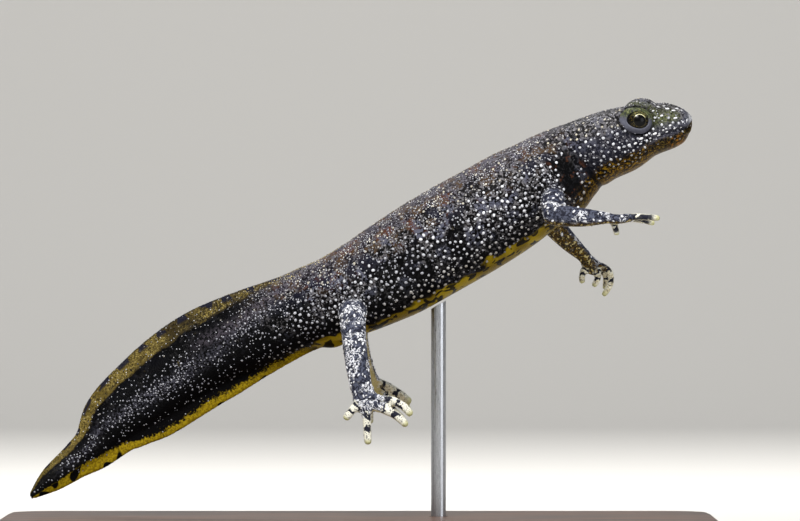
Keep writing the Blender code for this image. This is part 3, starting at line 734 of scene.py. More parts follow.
def skinFields(points, normals):
    # where each point lies on the animal, as the paint and the warts need it
    d, across, height, (above, below, half, fleshAbove, fleshBelow) = bodyPlaces(points)
    rise = height / np.where(height > 0, above, below)
    flesh = np.abs(height) / np.where(height > 0, fleshAbove, fleshBelow)
    limb = limbShare(d, across, np.hypot(across / half, rise))
    # outward sets which limb faces turn down; there the undersides' colour goes, and on the arms it is
    # partly painted shade
    outward = 0.5 * np.sign(points[:, 1]) * normals[:, 1] + 0.8 * normals[:, 2]
    underBody = ramp01(-normals[:, 2], 0.0, 0.75)
    eyeRing = np.minimum(*(lidOval(points, side) for side in (left, right)))
    head = d < 12
    mouthAway = np.full(len(points), 9.0)
    mouthAway[head], _ = nearestRun(points[head], mouthPoints())
    band = bell(rise, np.interp(d, (50, 56.5, 59.6, 63.2), (0.80, 0.51, 0.32, 0.27)), 0.13)
    return {
        "along": d / 100,
        "rise": rise,
        "limb": limb,
        "digit": digitShare(points, limb),
        "fin": ramp01(flesh, 0.90, 1.14) * ramp01(d, 50, 54),
        "under": np.where(limb > 0.5, ramp01(-outward, -0.05, 0.4), underBody),
        "sideways": ramp01(np.abs(normals[:, 1]), 0.25, 0.65),
        "shin": ramp01(28.5 - points[:, 2], 0.0, 4.0) * limb * (d > 36),
        # dark: the painted shade of the mouth line, the eye creases, the hollow of the neck and the fold
        "dark": np.clip(paintedShadeShare(points, d, rise, mouthAway, eyeRing) * (1 - limb), 0, 1),
        "pale": paleShare(d, rise, mouthAway),
        "band": band * between(d, 47, 51, 63, 67),
        "lip": bell(mouthAway, 0.62, 0.26) * (rise > -0.42) * head,
        "green": greenShare(d, rise, eyeRing),
    }


# Paint: tones are given as red, green and blue up to 255
def rgb(r, g, b):
    return tuple(((c / 255 + 0.055) / 1.055) ** 2.4 if c > 10 else c / 255 / 12.92 for c in (r, g, b))


shades = {
    "black": rgb(5, 5, 6),
    "ink": rgb(22, 24, 38),
    "night": rgb(36, 37, 48),
    "slate": rgb(88, 88, 100),
    "ash": rgb(106, 104, 107),
    "blue": rgb(62, 68, 92),
    "limb": rgb(80, 84, 100),
    "mauve": rgb(82, 77, 86),
    "brown": rgb(78, 62, 46),
    "rust": rgb(82, 50, 34),
    "olive": rgb(96, 82, 36),
    "bark": rgb(50, 42, 25),
    "jaw": rgb(62, 45, 18),
    "ochre": rgb(138, 104, 12),
    "straw": rgb(158, 142, 84),
    "mustard": rgb(114, 94, 13),
    "yellow": rgb(154, 132, 21),
    "sand": rgb(200, 182, 120),
    "orange": rgb(160, 104, 20),
    "cream": rgb(232, 230, 214),
    "toeTip": rgb(190, 188, 140),
    "pale": rgb(232, 234, 240),
    "green": rgb(74, 80, 50),
    "fleck": rgb(134, 136, 98),
    "gold": rgb(226, 222, 178),
    "lid": rgb(86, 88, 100),
    "pupil": rgb(3, 3, 4),
}


class Paint:
    # a material and short ways to add nodes to it; a size is that of a feature in mm, and a
    # tone is a name in shades, a colour or a socket

    def __init__(self, name, **settings):
        self.material = bpy.data.materials.new(name)
        self.material.use_nodes = True
        self.tree = self.material.node_tree
        self.shader = self.tree.nodes["Principled BSDF"]
        self.spot = self.add("TexCoord").outputs["Object"]
        for key, value in settings.items():
            self.shader.inputs[key.replace("_", " ")].default_value = value

    def add(self, kind, inputs=(), **properties):
        made = self.tree.nodes.new("ShaderNode" + kind)
        for key, value in properties.items():
            setattr(made, key, value)
        for key, value in dict(inputs).items():
            self.put(made.inputs[key], value)
        return made

    def put(self, socket, value):
        if isinstance(value, str):
            value = shades[value]
        if isinstance(value, bpy.types.NodeSocket):
            self.tree.links.new(value, socket)
        elif socket.type == "RGBA":
            socket.default_value = (*value, 1)
        else:
            socket.default_value = value

    def field(self, name):
        return self.add("Attribute", attribute_name=name).outputs["Fac"]

    def noise(self, size, detail=2.0, rough=0.5, bend=0.0, spot=None):
        made = self.add("TexNoise", {"Vector": spot or self.spot, "Scale": 1 / (size * mm)})
        for key, value in (("Detail", detail), ("Roughness", rough), ("Distortion", bend)):
            made.inputs[key].default_value = value
        return made.outputs["Fac"]

    def cells(self, size):
        made = self.add("TexVoronoi", {"Vector": self.spot, "Scale": 1 / (size * mm)})
        return made.outputs["Distance"], made.outputs["Color"]

    def ramp(self, value, low, high, start=0.0, end=1.0):
        limits = {"From Min": low, "From Max": high, "To Min": start, "To Max": end}
        made = self.add("MapRange", {"Value": value, **limits}, interpolation_type="SMOOTHSTEP")
        return made.outputs["Result"]

    def sum(self, a, b, operation="ADD"):
        made = self.add("Math", operation=operation)
        self.put(made.inputs[0], a)
        self.put(made.inputs[1], b)
        return made.outputs[0]

    def times(self, *values):
        total = values[0]
        for value in values[1:]:
            total = self.sum(total, value, "MULTIPLY")
        return total

    def mix(self, share, a, b):
        made = self.add("Mix", data_type="RGBA", clamp_factor=True)
        self.put(made.inputs["Factor"], share)
        self.put(made.inputs[6], a)
        self.put(made.inputs[7], b)
        return made.outputs[2]

    def coat(self, tone, *shares):
        # lays a tone over the colour so far, by the product of the shares
        self.colour = self.mix(self.times(*shares), self.colour, tone)

    def finish(self, colour, height=None, strength=0.4, depth=0.06, roughness=None):
        self.put(self.shader.inputs["Base Color"], colour)
        if roughness is not None:
            self.put(self.shader.inputs["Roughness"], roughness)
        if height is not None:
            bump = self.add("Bump", {"Strength": strength, "Distance": depth * mm, "Height": height})
            self.put(self.shader.inputs["Normal"], bump.outputs[0])
        return self.material


class SkinPaint(Paint):
    # the skin's places and grains, which its coats of paint read

    def __init__(self):
        super().__init__("moistSkin", Roughness=0.38, Specular_IOR_Level=0.04)
        self.along, self.rise, self.fin = self.field("along"), self.field("rise"), self.field("fin")
        self.limb, self.digit, self.under = self.field("limb"), self.field("digit"), self.field("under")
        # dark is the painted shade of the creases, the mouth line and the hollow of the neck
        self.dark, self.pale = self.field("dark"), self.field("pale")
        self.pebble = self.noise(0.26, 4.0, 0.62)
        self.mottle = self.noise(2.4, 2.0, 0.5)
        self.blotch = self.noise(3.2, 1.0, 0.5, 0.4)
        self.stipple = self.noise(0.34, 1.5, 0.5, 0.8)
        self.fine = self.noise(0.13, 2.0, 0.6)

    def behind(self, low, high, start=0.0, end=1.0):
        # a ramp along the body, in tenths of a metre behind the snout
        return self.ramp(self.along, low, high, start, end)

    def high(self, low, high, start=0.0, end=1.0):
        # a ramp up the body, from -1 at the belly to 1 on the back
        return self.ramp(self.rise, low, high, start, end)


def paintFlank(p):
    # worm-like grey stipple over black, with blacker zones
    grain = p.sum(p.times(p.stipple, 0.75), p.times(p.mottle, 0.25))
    p.colour = p.mix(p.ramp(grain, 0.48, 0.60), "black", "ash")
    p.coat("blue", p.ramp(p.mottle, 0.50, 0.62), p.ramp(p.stipple, 0.44, 0.54), 0.6)
    upper = p.high(0.05, 0.5)
    trunk = p.times(p.behind(0.13, 0.18), p.behind(0.62, 0.54))
    raised = p.sum(p.rise, p.times(p.sum(p.mottle, -0.5), 0.6))
    p.coat("mauve", p.ramp(raised, 0.45, 0.95), p.ramp(p.stipple, 0.36, 0.54, 0.15, 1.0), trunk, 0.72)
    patches = p.ramp(p.noise(1.7, 2.0, 0.5, 0.3), 0.50, 0.60)
    browns = p.mix(p.ramp(p.mottle, 0.5, 0.6), "brown", "rust")
    p.coat(browns, upper, trunk, patches, p.ramp(p.stipple, 0.64, 0.44), 0.85)
    limit = p.sum(p.behind(0.30, 0.44, 0.44, 0.50), p.blotch, "SUBTRACT")
    zones = p.times(p.ramp(limit, -0.02, 0.02), p.high(0.75, 0.45), p.behind(0.14, 0.19))
    p.coat(p.mix(upper, "black", "ink"), zones, 0.88)
    p.coat("black", p.high(0.05, -0.55), p.behind(0.28, 0.42, 0.68, 0.88))
    p.coat("straw", p.high(0.966, 0.990), p.behind(0.10, 0.15), p.ramp(p.pebble, 0.26, 0.54), 0.8)


def paintHead(p):
    # grey stipple above, greenish between the eye and the nostril, pale at the muzzle
    crown = p.times(p.behind(0.150, 0.10), p.high(-0.25, 0.5), p.ramp(p.stipple, 0.44, 0.58, 0.1, 1.0), 0.55)
    cheek = p.times(p.behind(0.05, 0.07), p.behind(0.155, 0.14), p.high(0.5, 0.2), 0.55)
    p.coat("ash", p.mix(cheek, crown, (0, 0, 0)))
    p.coat("night", cheek)
    lowSnout = p.mix(p.ramp(p.pebble, 0.4, 0.6), "night", "slate")
    p.coat(lowSnout, p.behind(0.056, 0.044), p.high(0.16, 0.02), p.high(-0.6, -0.4), 0.7)
    green = p.field("green")
    p.coat("green", green, p.ramp(p.pebble, 0.36, 0.54), 0.9)
    p.coat("fleck", green, p.ramp(p.fine, 0.55, 0.61), 0.6)
    muzzle = p.mix(p.behind(0.005, 0.001), "lid", "pale")
    p.coat(muzzle, p.behind(0.014, 0.005), p.high(-0.6, 0.0), p.ramp(p.pebble, 0.3, 0.5, 0.25, 0.6))


finBlotches = {"every": 2.9, "wander": 9.0}  # mm along the edge of the upper fin


def paintUpperFin(p):
    # olive and gold, with ink blotches along its edge
    above, edge = p.high(-0.1, 0.1), p.ramp(p.fin, 0.05, 0.75)
    inner = p.sum(p.fin, p.times(p.sum(p.noise(1.5, 2.0, 0.6), -0.5), 2.2))
    dusk = p.mix(p.behind(0.64, 0.76), "bark", "olive")
    p.coat(dusk, above, p.ramp(p.fin, 0.0, 0.3), p.ramp(inner, 0.1, 0.7), p.ramp(p.pebble, 0.28, 0.58), 0.9)
    lobes = p.sum(p.times(p.noise(1.7, 2.0, 0.6), 2.2), p.times(p.fin, 0.7))
    gold = p.mix(p.ramp(p.fine, 0.48, 0.64), "olive", "straw")
    gaps = p.ramp(p.noise(2.8, 1.0), 0.38, 0.50, 0.3, 0.9)
    p.coat(gold, above, p.ramp(lobes, 1.42, 2.0), p.ramp(p.pebble, 0.34, 0.62), gaps)
    margin = p.sum(p.rise, p.times(p.sum(p.pebble, -0.5), 0.08))
    turns = p.times(p.along, 100 * math.tau / finBlotches["every"])
    wave = p.sum(p.sum(turns, p.times(p.mottle, finBlotches["wander"])), 0.0, "SINE")
    p.coat("ink", above, p.times(p.ramp(wave, 0.25, 0.6), p.ramp(margin, 0.82, 0.89), edge), 0.94)
    p.coat("ink", above, edge, p.ramp(margin, 0.955, 0.99), 0.7)


def paintTail(p):
    # a black core with a slate streak along it, and a yellow lower fin with a frayed edge
    tail = p.behind(0.50, 0.60)
    p.coat("black", tail, 0.93)
    p.coat("slate", tail, p.pale, p.ramp(p.pebble, 0.46, 0.60), 0.6)
    p.coat("mauve", p.field("band"), p.ramp(p.stipple, 0.40, 0.58), 0.65)
    paintUpperFin(p)
    frayed = p.sum(p.rise, p.sum(p.times(p.noise(0.3, 3.0, 0.6), 0.34), p.times(p.mottle, 0.16)))
    frayed = p.sum(frayed, p.behind(0.76, 0.86, 0.0, 0.42), "SUBTRACT")
    lowFin = p.times(p.behind(0.515, 0.545), p.ramp(frayed, -0.56, -0.63))
    p.coat(p.mix(p.ramp(p.pebble, 0.4, 0.6), "mustard", "yellow"), lowFin)
    p.coat("black", lowFin, p.ramp(p.noise(3.0, 1.0, 0.5, 0.3), 0.60, 0.63))
    return lowFin


def paintBelly(p, edge):
    belly = p.times(p.ramp(edge, -0.79, -0.84), p.behind(0.15, 0.19), p.behind(0.545, 0.515))
    p.coat(p.mix(p.ramp(p.blotch, 0.42, 0.62), "mustard", "yellow"), belly)
    p.coat("black", belly, p.ramp(p.noise(1.3, 1.0, 0.5, 0.6), 0.53, 0.57), 0.95)
    return belly


def paintThroat(p, edge):
    throat = p.times(p.ramp(edge, -0.42, -0.62), p.behind(0.20, 0.13))
    ochre = p.mix(p.behind(0.03, 0.07), "olive", "ochre")
    jaw = p.mix(p.ramp(p.noise(0.45, 2.0, 0.6), 0.44, 0.56), "jaw", ochre)
    chin = p.times(p.behind(0.008, 0.014), p.behind(0.038, 0.028), p.high(-0.48, -0.66))
    jaw = p.mix(p.times(chin, p.ramp(p.noise(0.4, 2.0, 0.6), 0.46, 0.58), 0.85), jaw, "orange")
    jaw = p.mix(p.times(p.ramp(p.pebble, 0.56, 0.48), p.high(-1.0, -0.7, 0.4, 1.0)), jaw, "black")
    p.coat(jaw, throat)
    return throat


def paintCreaseShade(p):
    # painted shade: black in the mouth, the neck and round the lids, with rust where the gills were
    p.coat("black", p.dark, 0.93)
    p.coat("rust", p.dark, p.behind(0.135, 0.145), p.ramp(p.noise(0.9), 0.56, 0.62), 0.55)


def toeTone(p, front):
    # cream with dark bands round the toes
    wander = p.sum(p.times(p.noise(1.0, 1.0), 6.0), p.times(p.noise(0.4, 2.0), 5.0))
    bands = p.ramp(p.sum(p.sum(p.times(p.digit, 3.2 * math.tau), wander), 0.0, "SINE"), -0.5, -0.15)
    near = p.ramp(p.add("SeparateXYZ", {"Vector": p.spot}).outputs[1], 0.001, -0.001)
    bands = p.mix(p.times(front, near, p.ramp(p.noise(0.8, 1.0), 0.38, 0.5), 0.9), bands, (0, 0, 0))
    tone = p.mix(p.times(p.under, p.ramp(p.pebble, 0.35, 0.6), 0.7), "cream", "sand")
    tone = p.mix(p.ramp(p.sum(p.fine, p.pebble), 1.10, 1.20), tone, "slate")
    banded = p.times(p.ramp(bands, 1.0, 0.0), p.ramp(p.digit, 0.90, 0.74), p.field("sideways"))
    return p.mix(p.ramp(p.digit, 0.82, 0.95), p.mix(banded, tone, "night"), "toeTip")


def paintLimbs(p):
    # slate with pale worm-like lines, and sandy below; under the arms dark brown that is partly painted
    # shade
    front = p.behind(0.36, 0.30)
    tone = p.mix(p.ramp(p.stipple, 0.42, 0.60), "night", "limb")
    worm = p.sum(p.sum(p.noise(0.55, 2.0, 0.5, 1.0), -0.5), 0.0, "ABSOLUTE")
    more = p.times(p.sum(p.field("shin"), front, "SUBTRACT"), 0.09)
    chosen = p.ramp(p.sum(p.noise(1.4, 1.0), more), 0.45, 0.55)
    tone = p.mix(p.times(p.ramp(worm, 0.055, 0.03), chosen, 0.92), tone, "pale")
    # under the arms: ochre and sand spots on dark brown, the dark brown partly painted shade on the downward
    # side
    armUnderAndShade = p.mix(p.times(p.ramp(p.pebble, 0.46, 0.60), 0.5), "bark", "ochre")
    armUnderAndShade = p.mix(p.ramp(p.noise(0.36, 2.0, 0.5), 0.58, 0.62), armUnderAndShade, "sand")
    legUnder = p.mix(p.ramp(p.pebble, 0.22, 0.42), "olive", "sand")
    tone = p.mix(p.times(p.under, 0.9), tone, p.mix(front, legUnder, armUnderAndShade))
    onDigit = p.ramp(p.sum(p.digit, p.times(p.noise(0.7, 2.0), 0.5)), 0.36, 0.52)
    p.coat(p.mix(onDigit, tone, toeTone(p, front)), p.limb)


def paintSpecks(p, *bare):
    # fine pale specks over all that isn't bare of them
    away, tint = p.cells(0.34)
    roll = p.add("SeparateColor", {"Color": tint}).outputs[0]
    chosen = p.ramp(p.sum(roll, p.times(p.pale, 0.45)), 0.70, 0.76)
    clear = p.times(*(p.ramp(part, 0.6, 0.1) for part in bare))
    specks = p.times(p.ramp(away, 0.26, 0.12), chosen, clear, 0.55)
    p.coat("pale", specks)
    return specks


def paintSkin():
    p = SkinPaint()
    paintFlank(p)
    paintHead(p)
    lowFin = paintTail(p)
    edge = p.sum(p.rise, p.times(p.sum(p.mottle, -0.5), 0.42))
    belly = paintBelly(p, edge)
    throat = paintThroat(p, edge)
    paintCreaseShade(p)
    paintLimbs(p)
    specks = paintSpecks(p, belly, lowFin, p.dark, p.limb, throat)
    height = p.sum(p.sum(p.pebble, p.times(p.fine, 0.3)), p.times(specks, 0.3))
    return p.finish(p.colour, height, 0.5, 0.12)


def paintWarts(name):
    p = Paint(name, Roughness=0.38, Specular_IOR_Level=0.15)
    lit = p.mix(p.field("tone"), "slate", p.mix(p.field("warm"), "pale", "sand"))
    return p.finish(p.mix(p.ramp(p.field("tip"), 0.10, 0.55), "night", lit), p.noise(0.1, 2.0), 0.2, 0.02)


# Warts: small domes with pale tips, sown over the skin. Dots are the round ones of the flanks
# and cheeks; grains are the tiny ones that crowd in patches, on the limbs and on the tail.
dots = {
    "seed": 7, "count": 2000, "spacing": 0.62, "tries": 9,
    "sides": 10, "bands": 6, "radius": (0.135, 0.205), "tall": 0.72,
}
grains = {
    "seed": 11, "count": 4600, "spacing": 0.25, "tries": 9,
    "sides": 7, "bands": 4, "radius": (0.060, 0.120), "tall": 0.8,
}
patches = {"seed": 5, "count": 76, "size": (0.45, 0.90), "along": (17, 56), "turn": (22, 78)}
flecks = {
    # the bright dashes of the lip and of the snout: distance behind the snout and share of height
    "lip": (
        (1.5, -0.26), (2.7, -0.09), (2.2, -0.24), (3.1, -0.18), (3.5, -0.21), (3.2, -0.33), (4.1, -0.35),
        (4.4, -0.255), (5.4, -0.20), (5.0, -0.38), (6.2, -0.275), (6.5, -0.38), (7.9, -0.25), (7.3, -0.33),
    ),
    "snout": (
        (3.5, 0.78), (2.7, 0.81), (2.5, 0.675), (1.9, 0.634), (1.5, 0.79),
        (1.0, 0.75), (3.3, 0.41), (1.8, 0.25), (4.2, 0.825), (4.2, 0.68),
    ),
    "forward": (0.93, 0.0, 0.36),
    "seed": 3, "sides": 10, "bands": 6, "radius": (0.10, 0.15), "tall": 0.6,
}


def wartDome(sides, bands):
    # the top of a ball on a short skirt that goes down into the skin
    bm = bmesh.new()
    bmesh.ops.create_uvsphere(bm, u_segments=sides, v_segments=bands, radius=1.0)
    bmesh.ops.delete(bm, geom=[v for v in bm.verts if v.co.z < -0.1], context="VERTS")
    lip = bmesh.ops.extrude_edge_only(bm, edges=[e for e in bm.edges if e.is_boundary])["geom"]
    for vert in [g for g in lip if isinstance(g, bmesh.types.BMVert)]:
        rim = vert.co.xy.normalized() * 1.3
        vert.co = Vector((*rim, -0.42))
    bmesh.ops.holes_fill(bm, edges=[e for e in bm.edges if e.is_boundary])
    bmesh.ops.triangulate(bm, faces=bm.faces)
    bmesh.ops.recalc_face_normals(bm, faces=bm.faces)
    shape = np.array([v.co for v in bm.verts])
    faces = np.array([[v.index for v in f.verts] for f in bm.faces])
    bm.free()
    return shape, faces


def clumps(points, size, low, high, shift):
    return ramp01(noiseAt(points, size, 2, shift), low, high)


def patchAt(points):
    # small bright patches scattered along the upper flanks
    rng = np.random.default_rng(patches["seed"])
    count = patches["count"]
    middles, turns = rng.uniform(*patches["along"], count), np.radians(rng.uniform(*patches["turn"], count))
    turns = np.where(np.arange(count) % 2, turns, math.pi - turns)
    away, which = nearestRun(points, bodyPoint(middles, turns, np.ones(count)))
    size = rng.uniform(*patches["size"], count)[which]
    return fall01(away / size + 0.35 * noiseAt(points, 0.5, 2, 33), 0.6, 1.0)


def crestAt(fields):
    # the ridge over the root of the tail, crowded with golden grains
    return bell(fields["along"] * 100, 53, 5.5) * bell(fields["rise"], 0.92, 0.09)


def places(fields):
    return fields["along"] * 100, fields["rise"], fields["limb"], fields["fin"]


def dotShares(points, fields):
    # how thickly the dots stand at each point of the skin
    d, rise, limb, fin = places(fields)
    share = ramp01(rise, -0.84, -0.66) * (1 - 0.9 * ramp01(rise, 0.55, 0.95))
    share *= fall01(fields["dark"], 0.12, 0.55)
    share *= 0.25 + 0.75 * clumps(points, 2.6, -0.28, 0.22, 0)
    share *= 1 - 0.45 * ramp01(rise, 0.15, 0.5) * ramp01(d, 16, 20)
    share *= (1 - 0.93 * ramp01(limb, 0.3, 0.8)) * fall01(fin, 0.3, 0.8)
    share *= 1 - 0.85 * ramp01(d, 53, 60) * (1 - bell(rise, streakAt(d), 0.26))
    share *= 1 - ramp01(d, 44, 54) * (1 - clumps(points, 2.4, -0.14, 0.06, 14))
    share *= 1 - 0.35 * between(d, 32, 42, 46, 52)
    return share * np.interp(d, (5.0, 7.5, 12, 16), (0.10, 0.65, 0.65, 1.0))


def dotLooks(points, fields, roll):
    # the size of each wart, how much longer than wide it is, how bright and how warm
    d, rise, _, _ = places(fields)
    size = np.where(d < 14, 1.0 - 0.25 * ramp01(-rise, 0.3, 0.7), 1.0) * (1 - 0.36 * ramp01(d, 50, 62))
    size = size * (1 - 0.22 * ramp01(rise, 0.15, 0.5))
    tone = 0.22 + 0.58 * roll + 0.2 * bell(rise, 0.0, 0.5)
    tone *= np.interp(d, (14, 30, 45, 60, 85), (1.0, 0.95, 0.72, 0.50, 0.32))
    tone *= 1 - 0.5 * ramp01(-rise, 0.25, 0.8)
    tone *= 0.6 + 0.4 * clumps(points, 3.5, -0.3, 0.1, 9)
    warm = 0.75 * ramp01(-rise, 0.35, 0.85) + 0.6 * (rise > 0.4) * roll
    return size, 1.1, tone, warm


def grainShares(points, fields):
    d, rise, limb, fin = places(fields)
    trunk = between(d, 15, 18, 54, 60)
    body = 0.03 + 1.5 * patchAt(points) + 0.17 * bell(rise, 0.6, 0.35) * trunk
    body += 0.10 * clumps(points, 1.2, 0.0, 0.3, 30) * bell(rise, 0.15, 0.4) * trunk
    body += 0.7 * bell(d, 18.8, 1.1) * bell(rise, 0.25, 0.4) * clumps(points, 0.7, -0.2, 0.2, 40)
    body += 1.1 * fields["pale"] * (d > 50) * clumps(points, 2.4, -0.14, 0.06, 14)
    body += 0.40 * fall01(d, 12, 14) * ramp01(rise, 0.0, 0.5) * clumps(points, 0.9, -0.1, 0.3, 70)
    body += 0.08 * fields["lip"] * clumps(points, 1.0, -0.15, 0.1, 90)
    body *= fall01(fields["dark"], 0.2, 0.7) * (1 - 0.85 * fin) * ramp01(rise, -0.80, -0.62)
    body += 0.9 * crestAt(fields) * clumps(points, 0.8, -0.25, 0.15, 60)
    body += 0.08 * fin * (rise > 0) * fall01(d, 70, 80) * clumps(points, 0.9, -0.1, 0.25, 61)
    stripes = noiseAt(points * (0.7, 0.7, 1.6), 0.85, 2, 5)
    worms = fall01(np.abs(stripes), 0.04, 0.11) * clumps(points, 1.9, -0.25, 0.1, 12)
    onLimb = (0.02 + 0.5 * worms) * (1 - 0.8 * fields["under"]) * fall01(fields["digit"], 0.15, 0.3)
    onLimb *= np.where(d < 33, 0.5, 1.0) * (1 + 1.0 * fields["shin"])
    return body * (1 - limb) + onLimb * limb


def grainLooks(points, fields, roll):
    d, rise, limb, fin = places(fields)
    tone = 0.06 + 0.5 * roll**1.3 + 0.5 * patchAt(points) + 0.5 * crestAt(fields)
    tone *= np.interp(d, (14, 30, 45, 60, 85), (1, 0.95, 0.85, 0.66, 0.45))
    tone = tone * (1 - limb) + (0.55 + 0.45 * roll) * limb
    golden = crestAt(fields) + fin + 0.6 * ramp01(-rise, 0.35, 0.8)
    warm = np.clip(golden, 0, 1) * (1 - limb) + 0.35 * (roll > 0.8) * (rise > 0.4)
    return 1 + 0.45 * limb, 1.0 + 0.7 * limb, tone, warm


def fleckLooks(points, fields, roll):
    onLip = (fields["rise"] < 0).astype(float)
    return 1.0 + 0.05 * onLip, 1.75 - 0.35 * onLip + 0.5 * roll, 0.68 + 0.32 * roll, 0.08 + 0 * roll


# The warts' places on the map that their colours are baked to
rolledOut = {
    "body": (0.02, 0.96, 0.26, 0.72),  # start and share of the width, start and share of the height
    "bodyLong": 93,
    "limbStart": (0.01, 0.02),
    "limbStep": (0.245, 0.036),  # between limbs, and between the rows of one limb
    "limbLong": 70,
    "rowTall": 0.030,
    "wart": 0.0011,
}


def limbUnwrap(points):
    # each limb has its own rows on the map: one for the shaft and one for each digit
    runs, spots = [], []
    (x, y), (across, down) = rolledOut["limbStart"], rolledOut["limbStep"]
    for column, name in enumerate(limbs):
        upper, lower = limbCurves(limbs[name])
        shaft = [(upper, 0, 0), (lower, upper.length, 0)]
        digits = [(curve, 0, row) for row, curve in enumerate(digitCurves(name), 1)]
        for curve, start, row in shaft + digits:
            t = np.linspace(0, curve.length, 40)
            runs.append(curve.read(t)[:, :3])
            u = x + across * column + (t + start) / rolledOut["limbLong"]
            spots.append(np.stack((u, np.full(len(t), y + down * row)), axis=1))
    runs, spots = np.concatenate(runs), np.concatenate(spots)
    _, index = nearestRun(points, runs)
    away = points - runs[index]
    turn = np.arctan2(away[:, 1], away[:, 0]) / math.tau + 0.5
    return spots[index] + np.stack((0 * turn, turn * rolledOut["rowTall"]), axis=1)


def unwrap(points, fields):
    # the body is rolled out along its length; the limbs lie below it
    samples = fields["along"] * 100
    centre, toLeft, up, _ = bodyFrame(samples)
    local = points - centre
    turn = np.arctan2((local * toLeft).sum(1), (local * up).sum(1)) / math.tau + 0.5
    x, wide, y, tall = rolledOut["body"]
    flat = np.stack((x + wide * samples / rolledOut["bodyLong"], y + tall * turn), axis=1)
    onLimb = fields["limb"] > 0.5
    if onLimb.any():
        flat[onLimb] = limbUnwrap(points[onLimb])
    return flat


def scattered(mesh, fields, kind, shareOf, rng):
    # places on the skin kept apart from each other, and the skin's point next to each
    mesh.calc_loop_triangles()
    corners = np.empty(len(mesh.loop_triangles) * 3, int)
    mesh.loop_triangles.foreach_get("vertices", corners)
    corners = corners.reshape(-1, 3)
    points = meshPoints(mesh)
    a, b, c = points[corners[:, 0]], points[corners[:, 1]], points[corners[:, 2]]
    weight = np.linalg.norm(np.cross(b - a, c - a), axis=1) * shareOf(points, fields)[corners].mean(1)
    tries = kind["count"] * kind["tries"]
    picks = rng.choice(len(corners), tries, p=weight / weight.sum())
    u, v = rng.random((2, tries))
    flip = u + v > 1
    u[flip], v[flip] = 1 - u[flip], 1 - v[flip]
    spots = a[picks] + (b - a)[picks] * u[:, None] + (c - a)[picks] * v[:, None]
    taken, kept = {}, []
    cell = kind["spacing"]
    steps = [(x, y, z) for x in (-1, 0, 1) for y in (-1, 0, 1) for z in (-1, 0, 1)]
    for i, (key, spot) in enumerate(zip((spots // cell).astype(int).tolist(), spots.tolist())):
        near = [taken.get((key[0] + x, key[1] + y, key[2] + z)) for x, y, z in steps]
        if any(other and math.dist(other, spot) < cell for other in near):
            continue
        taken[tuple(key)] = spot
        kept.append(i)
        if len(kept) == kind["count"]:
            break
    print("sown:", len(kept), "domes, the last try", int(kept[-1]), "of", tries)
    return spots[kept], corners[picks[kept], 0]


def headMarks(mesh, places):
    marks = np.array([headSurface(d, rise, side) for d, rise in places for side in (left, right)])
    points = meshPoints(mesh)
    _, home = nearestRun(marks, points)
    return points[home], home


def domeMesh(name, placed, faces, looks, flat):
    # one mesh of all the domes, with the looks of each and its patch on the map
    count, corners = placed.shape[:2]
    allFaces = (faces[None] + (np.arange(count) * corners)[:, None, None]).reshape(-1, 3)
    mesh = bpy.data.meshes.new(name)
    mesh.from_pydata((placed.reshape(-1, 3) * mm).tolist(), [], allFaces.tolist())
    mesh.shade_smooth()
    for key, values in looks.items():
        putAttribute(mesh, key, values)
    bake = mesh.uv_layers.new(name="OFBake")
    bake.data.foreach_set("uv", flat[allFaces.ravel()].astype(np.float32).ravel())
    mesh.materials.append(paintWarts(name + "Paint"))
    print(name, "raised:", len(allFaces), "triangles")
    return mesh


def raiseWarts(name, mesh, fields, kind, looksOf, shareOf=None):
    rng = np.random.default_rng(kind["seed"])
    if shareOf:
        spots, home = scattered(mesh, fields, kind, shareOf, rng)
    else:
        spots, home = headMarks(mesh, kind["lip"] + kind["snout"])
    up, count = meshNormals(mesh)[home], len(home)
    local = {key: values[home] for key, values in fields.items()}
    roll = rng.random(count)
    size, longer, tone, warm = looksOf(spots, local, roll)
    radius = (np.interp(roll**1.5, (0, 1), kind["radius"]) * size)[:, None]
    heading = rng.normal(size=(count, 3)) if shareOf else np.cross(kind["forward"], up)
    lengthwise = unit(np.cross(up, heading))
    crosswise = np.cross(up, lengthwise)
    wide = radius * rng.uniform(0.85, 1.2, (count, 1)) * np.broadcast_to(longer, count)[:, None]
    tall = radius * kind["tall"] * rng.uniform(0.75, 1.2, (count, 1))
    shape, faces = wartDome(kind["sides"], kind["bands"])
    placed = spots[:, None]
    for i, axis in enumerate((lengthwise * wide, crosswise * radius, up * tall)):
        placed = placed + shape[None, :, i : i + 1] * axis[:, None]
    looks = {
        "tip": np.tile(np.clip(shape[:, 2], 0, 1), count),
        "tone": np.repeat(np.clip(tone, 0, 1), len(shape)),
        "warm": np.repeat(np.clip(warm, 0, 1), len(shape)),
    }
    flat = np.repeat(unwrap(spots, local), len(shape), axis=0)
    flat = flat + np.tile(shape[:, :2] * rolledOut["wart"], (count, 1))
    made = linked(name, domeMesh(name, placed, faces, looks, flat))
    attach(made, "root")


skin = buildSkin()
carveHead(skin.data)
fields = skinFields(meshPoints(skin.data), meshNormals(skin.data))
for name, values in fields.items():
    putAttribute(skin.data, name, values)
skin.data.materials.append(paintSkin())
fleshNodes = [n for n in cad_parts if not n.startswith(("eye_", "stand_"))]
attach(skin, "root")
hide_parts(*fleshNodes)
print("skin painted")
raiseWarts("dots", skin.data, fields, dots, dotLooks, dotShares)
raiseWarts("grains", skin.data, fields, grains, grainLooks, grainShares)
raiseWarts("flecks", skin.data, fields, flecks, fleckLooks)


# Eyelids: a ring round each eye, from the rim of the opening to the crease outside it
lids = {
    # degrees from the middle of the gaze to the edge of each lid
    "ahead": 47, "back": 66, "over": 45, "under": 36,
    "profile": ((2, 1.46), (0, 1.60), (3, 1.69), (9, 1.745)),
    "outer": ((0.42, 1.79), (0.76, 1.83), (0.96, 1.79), (1.10, 1.62)),
    "outerAt": 84,
    "longer": 0.30,  # how much further the crease lies behind the eye
    "turns": 72,
}


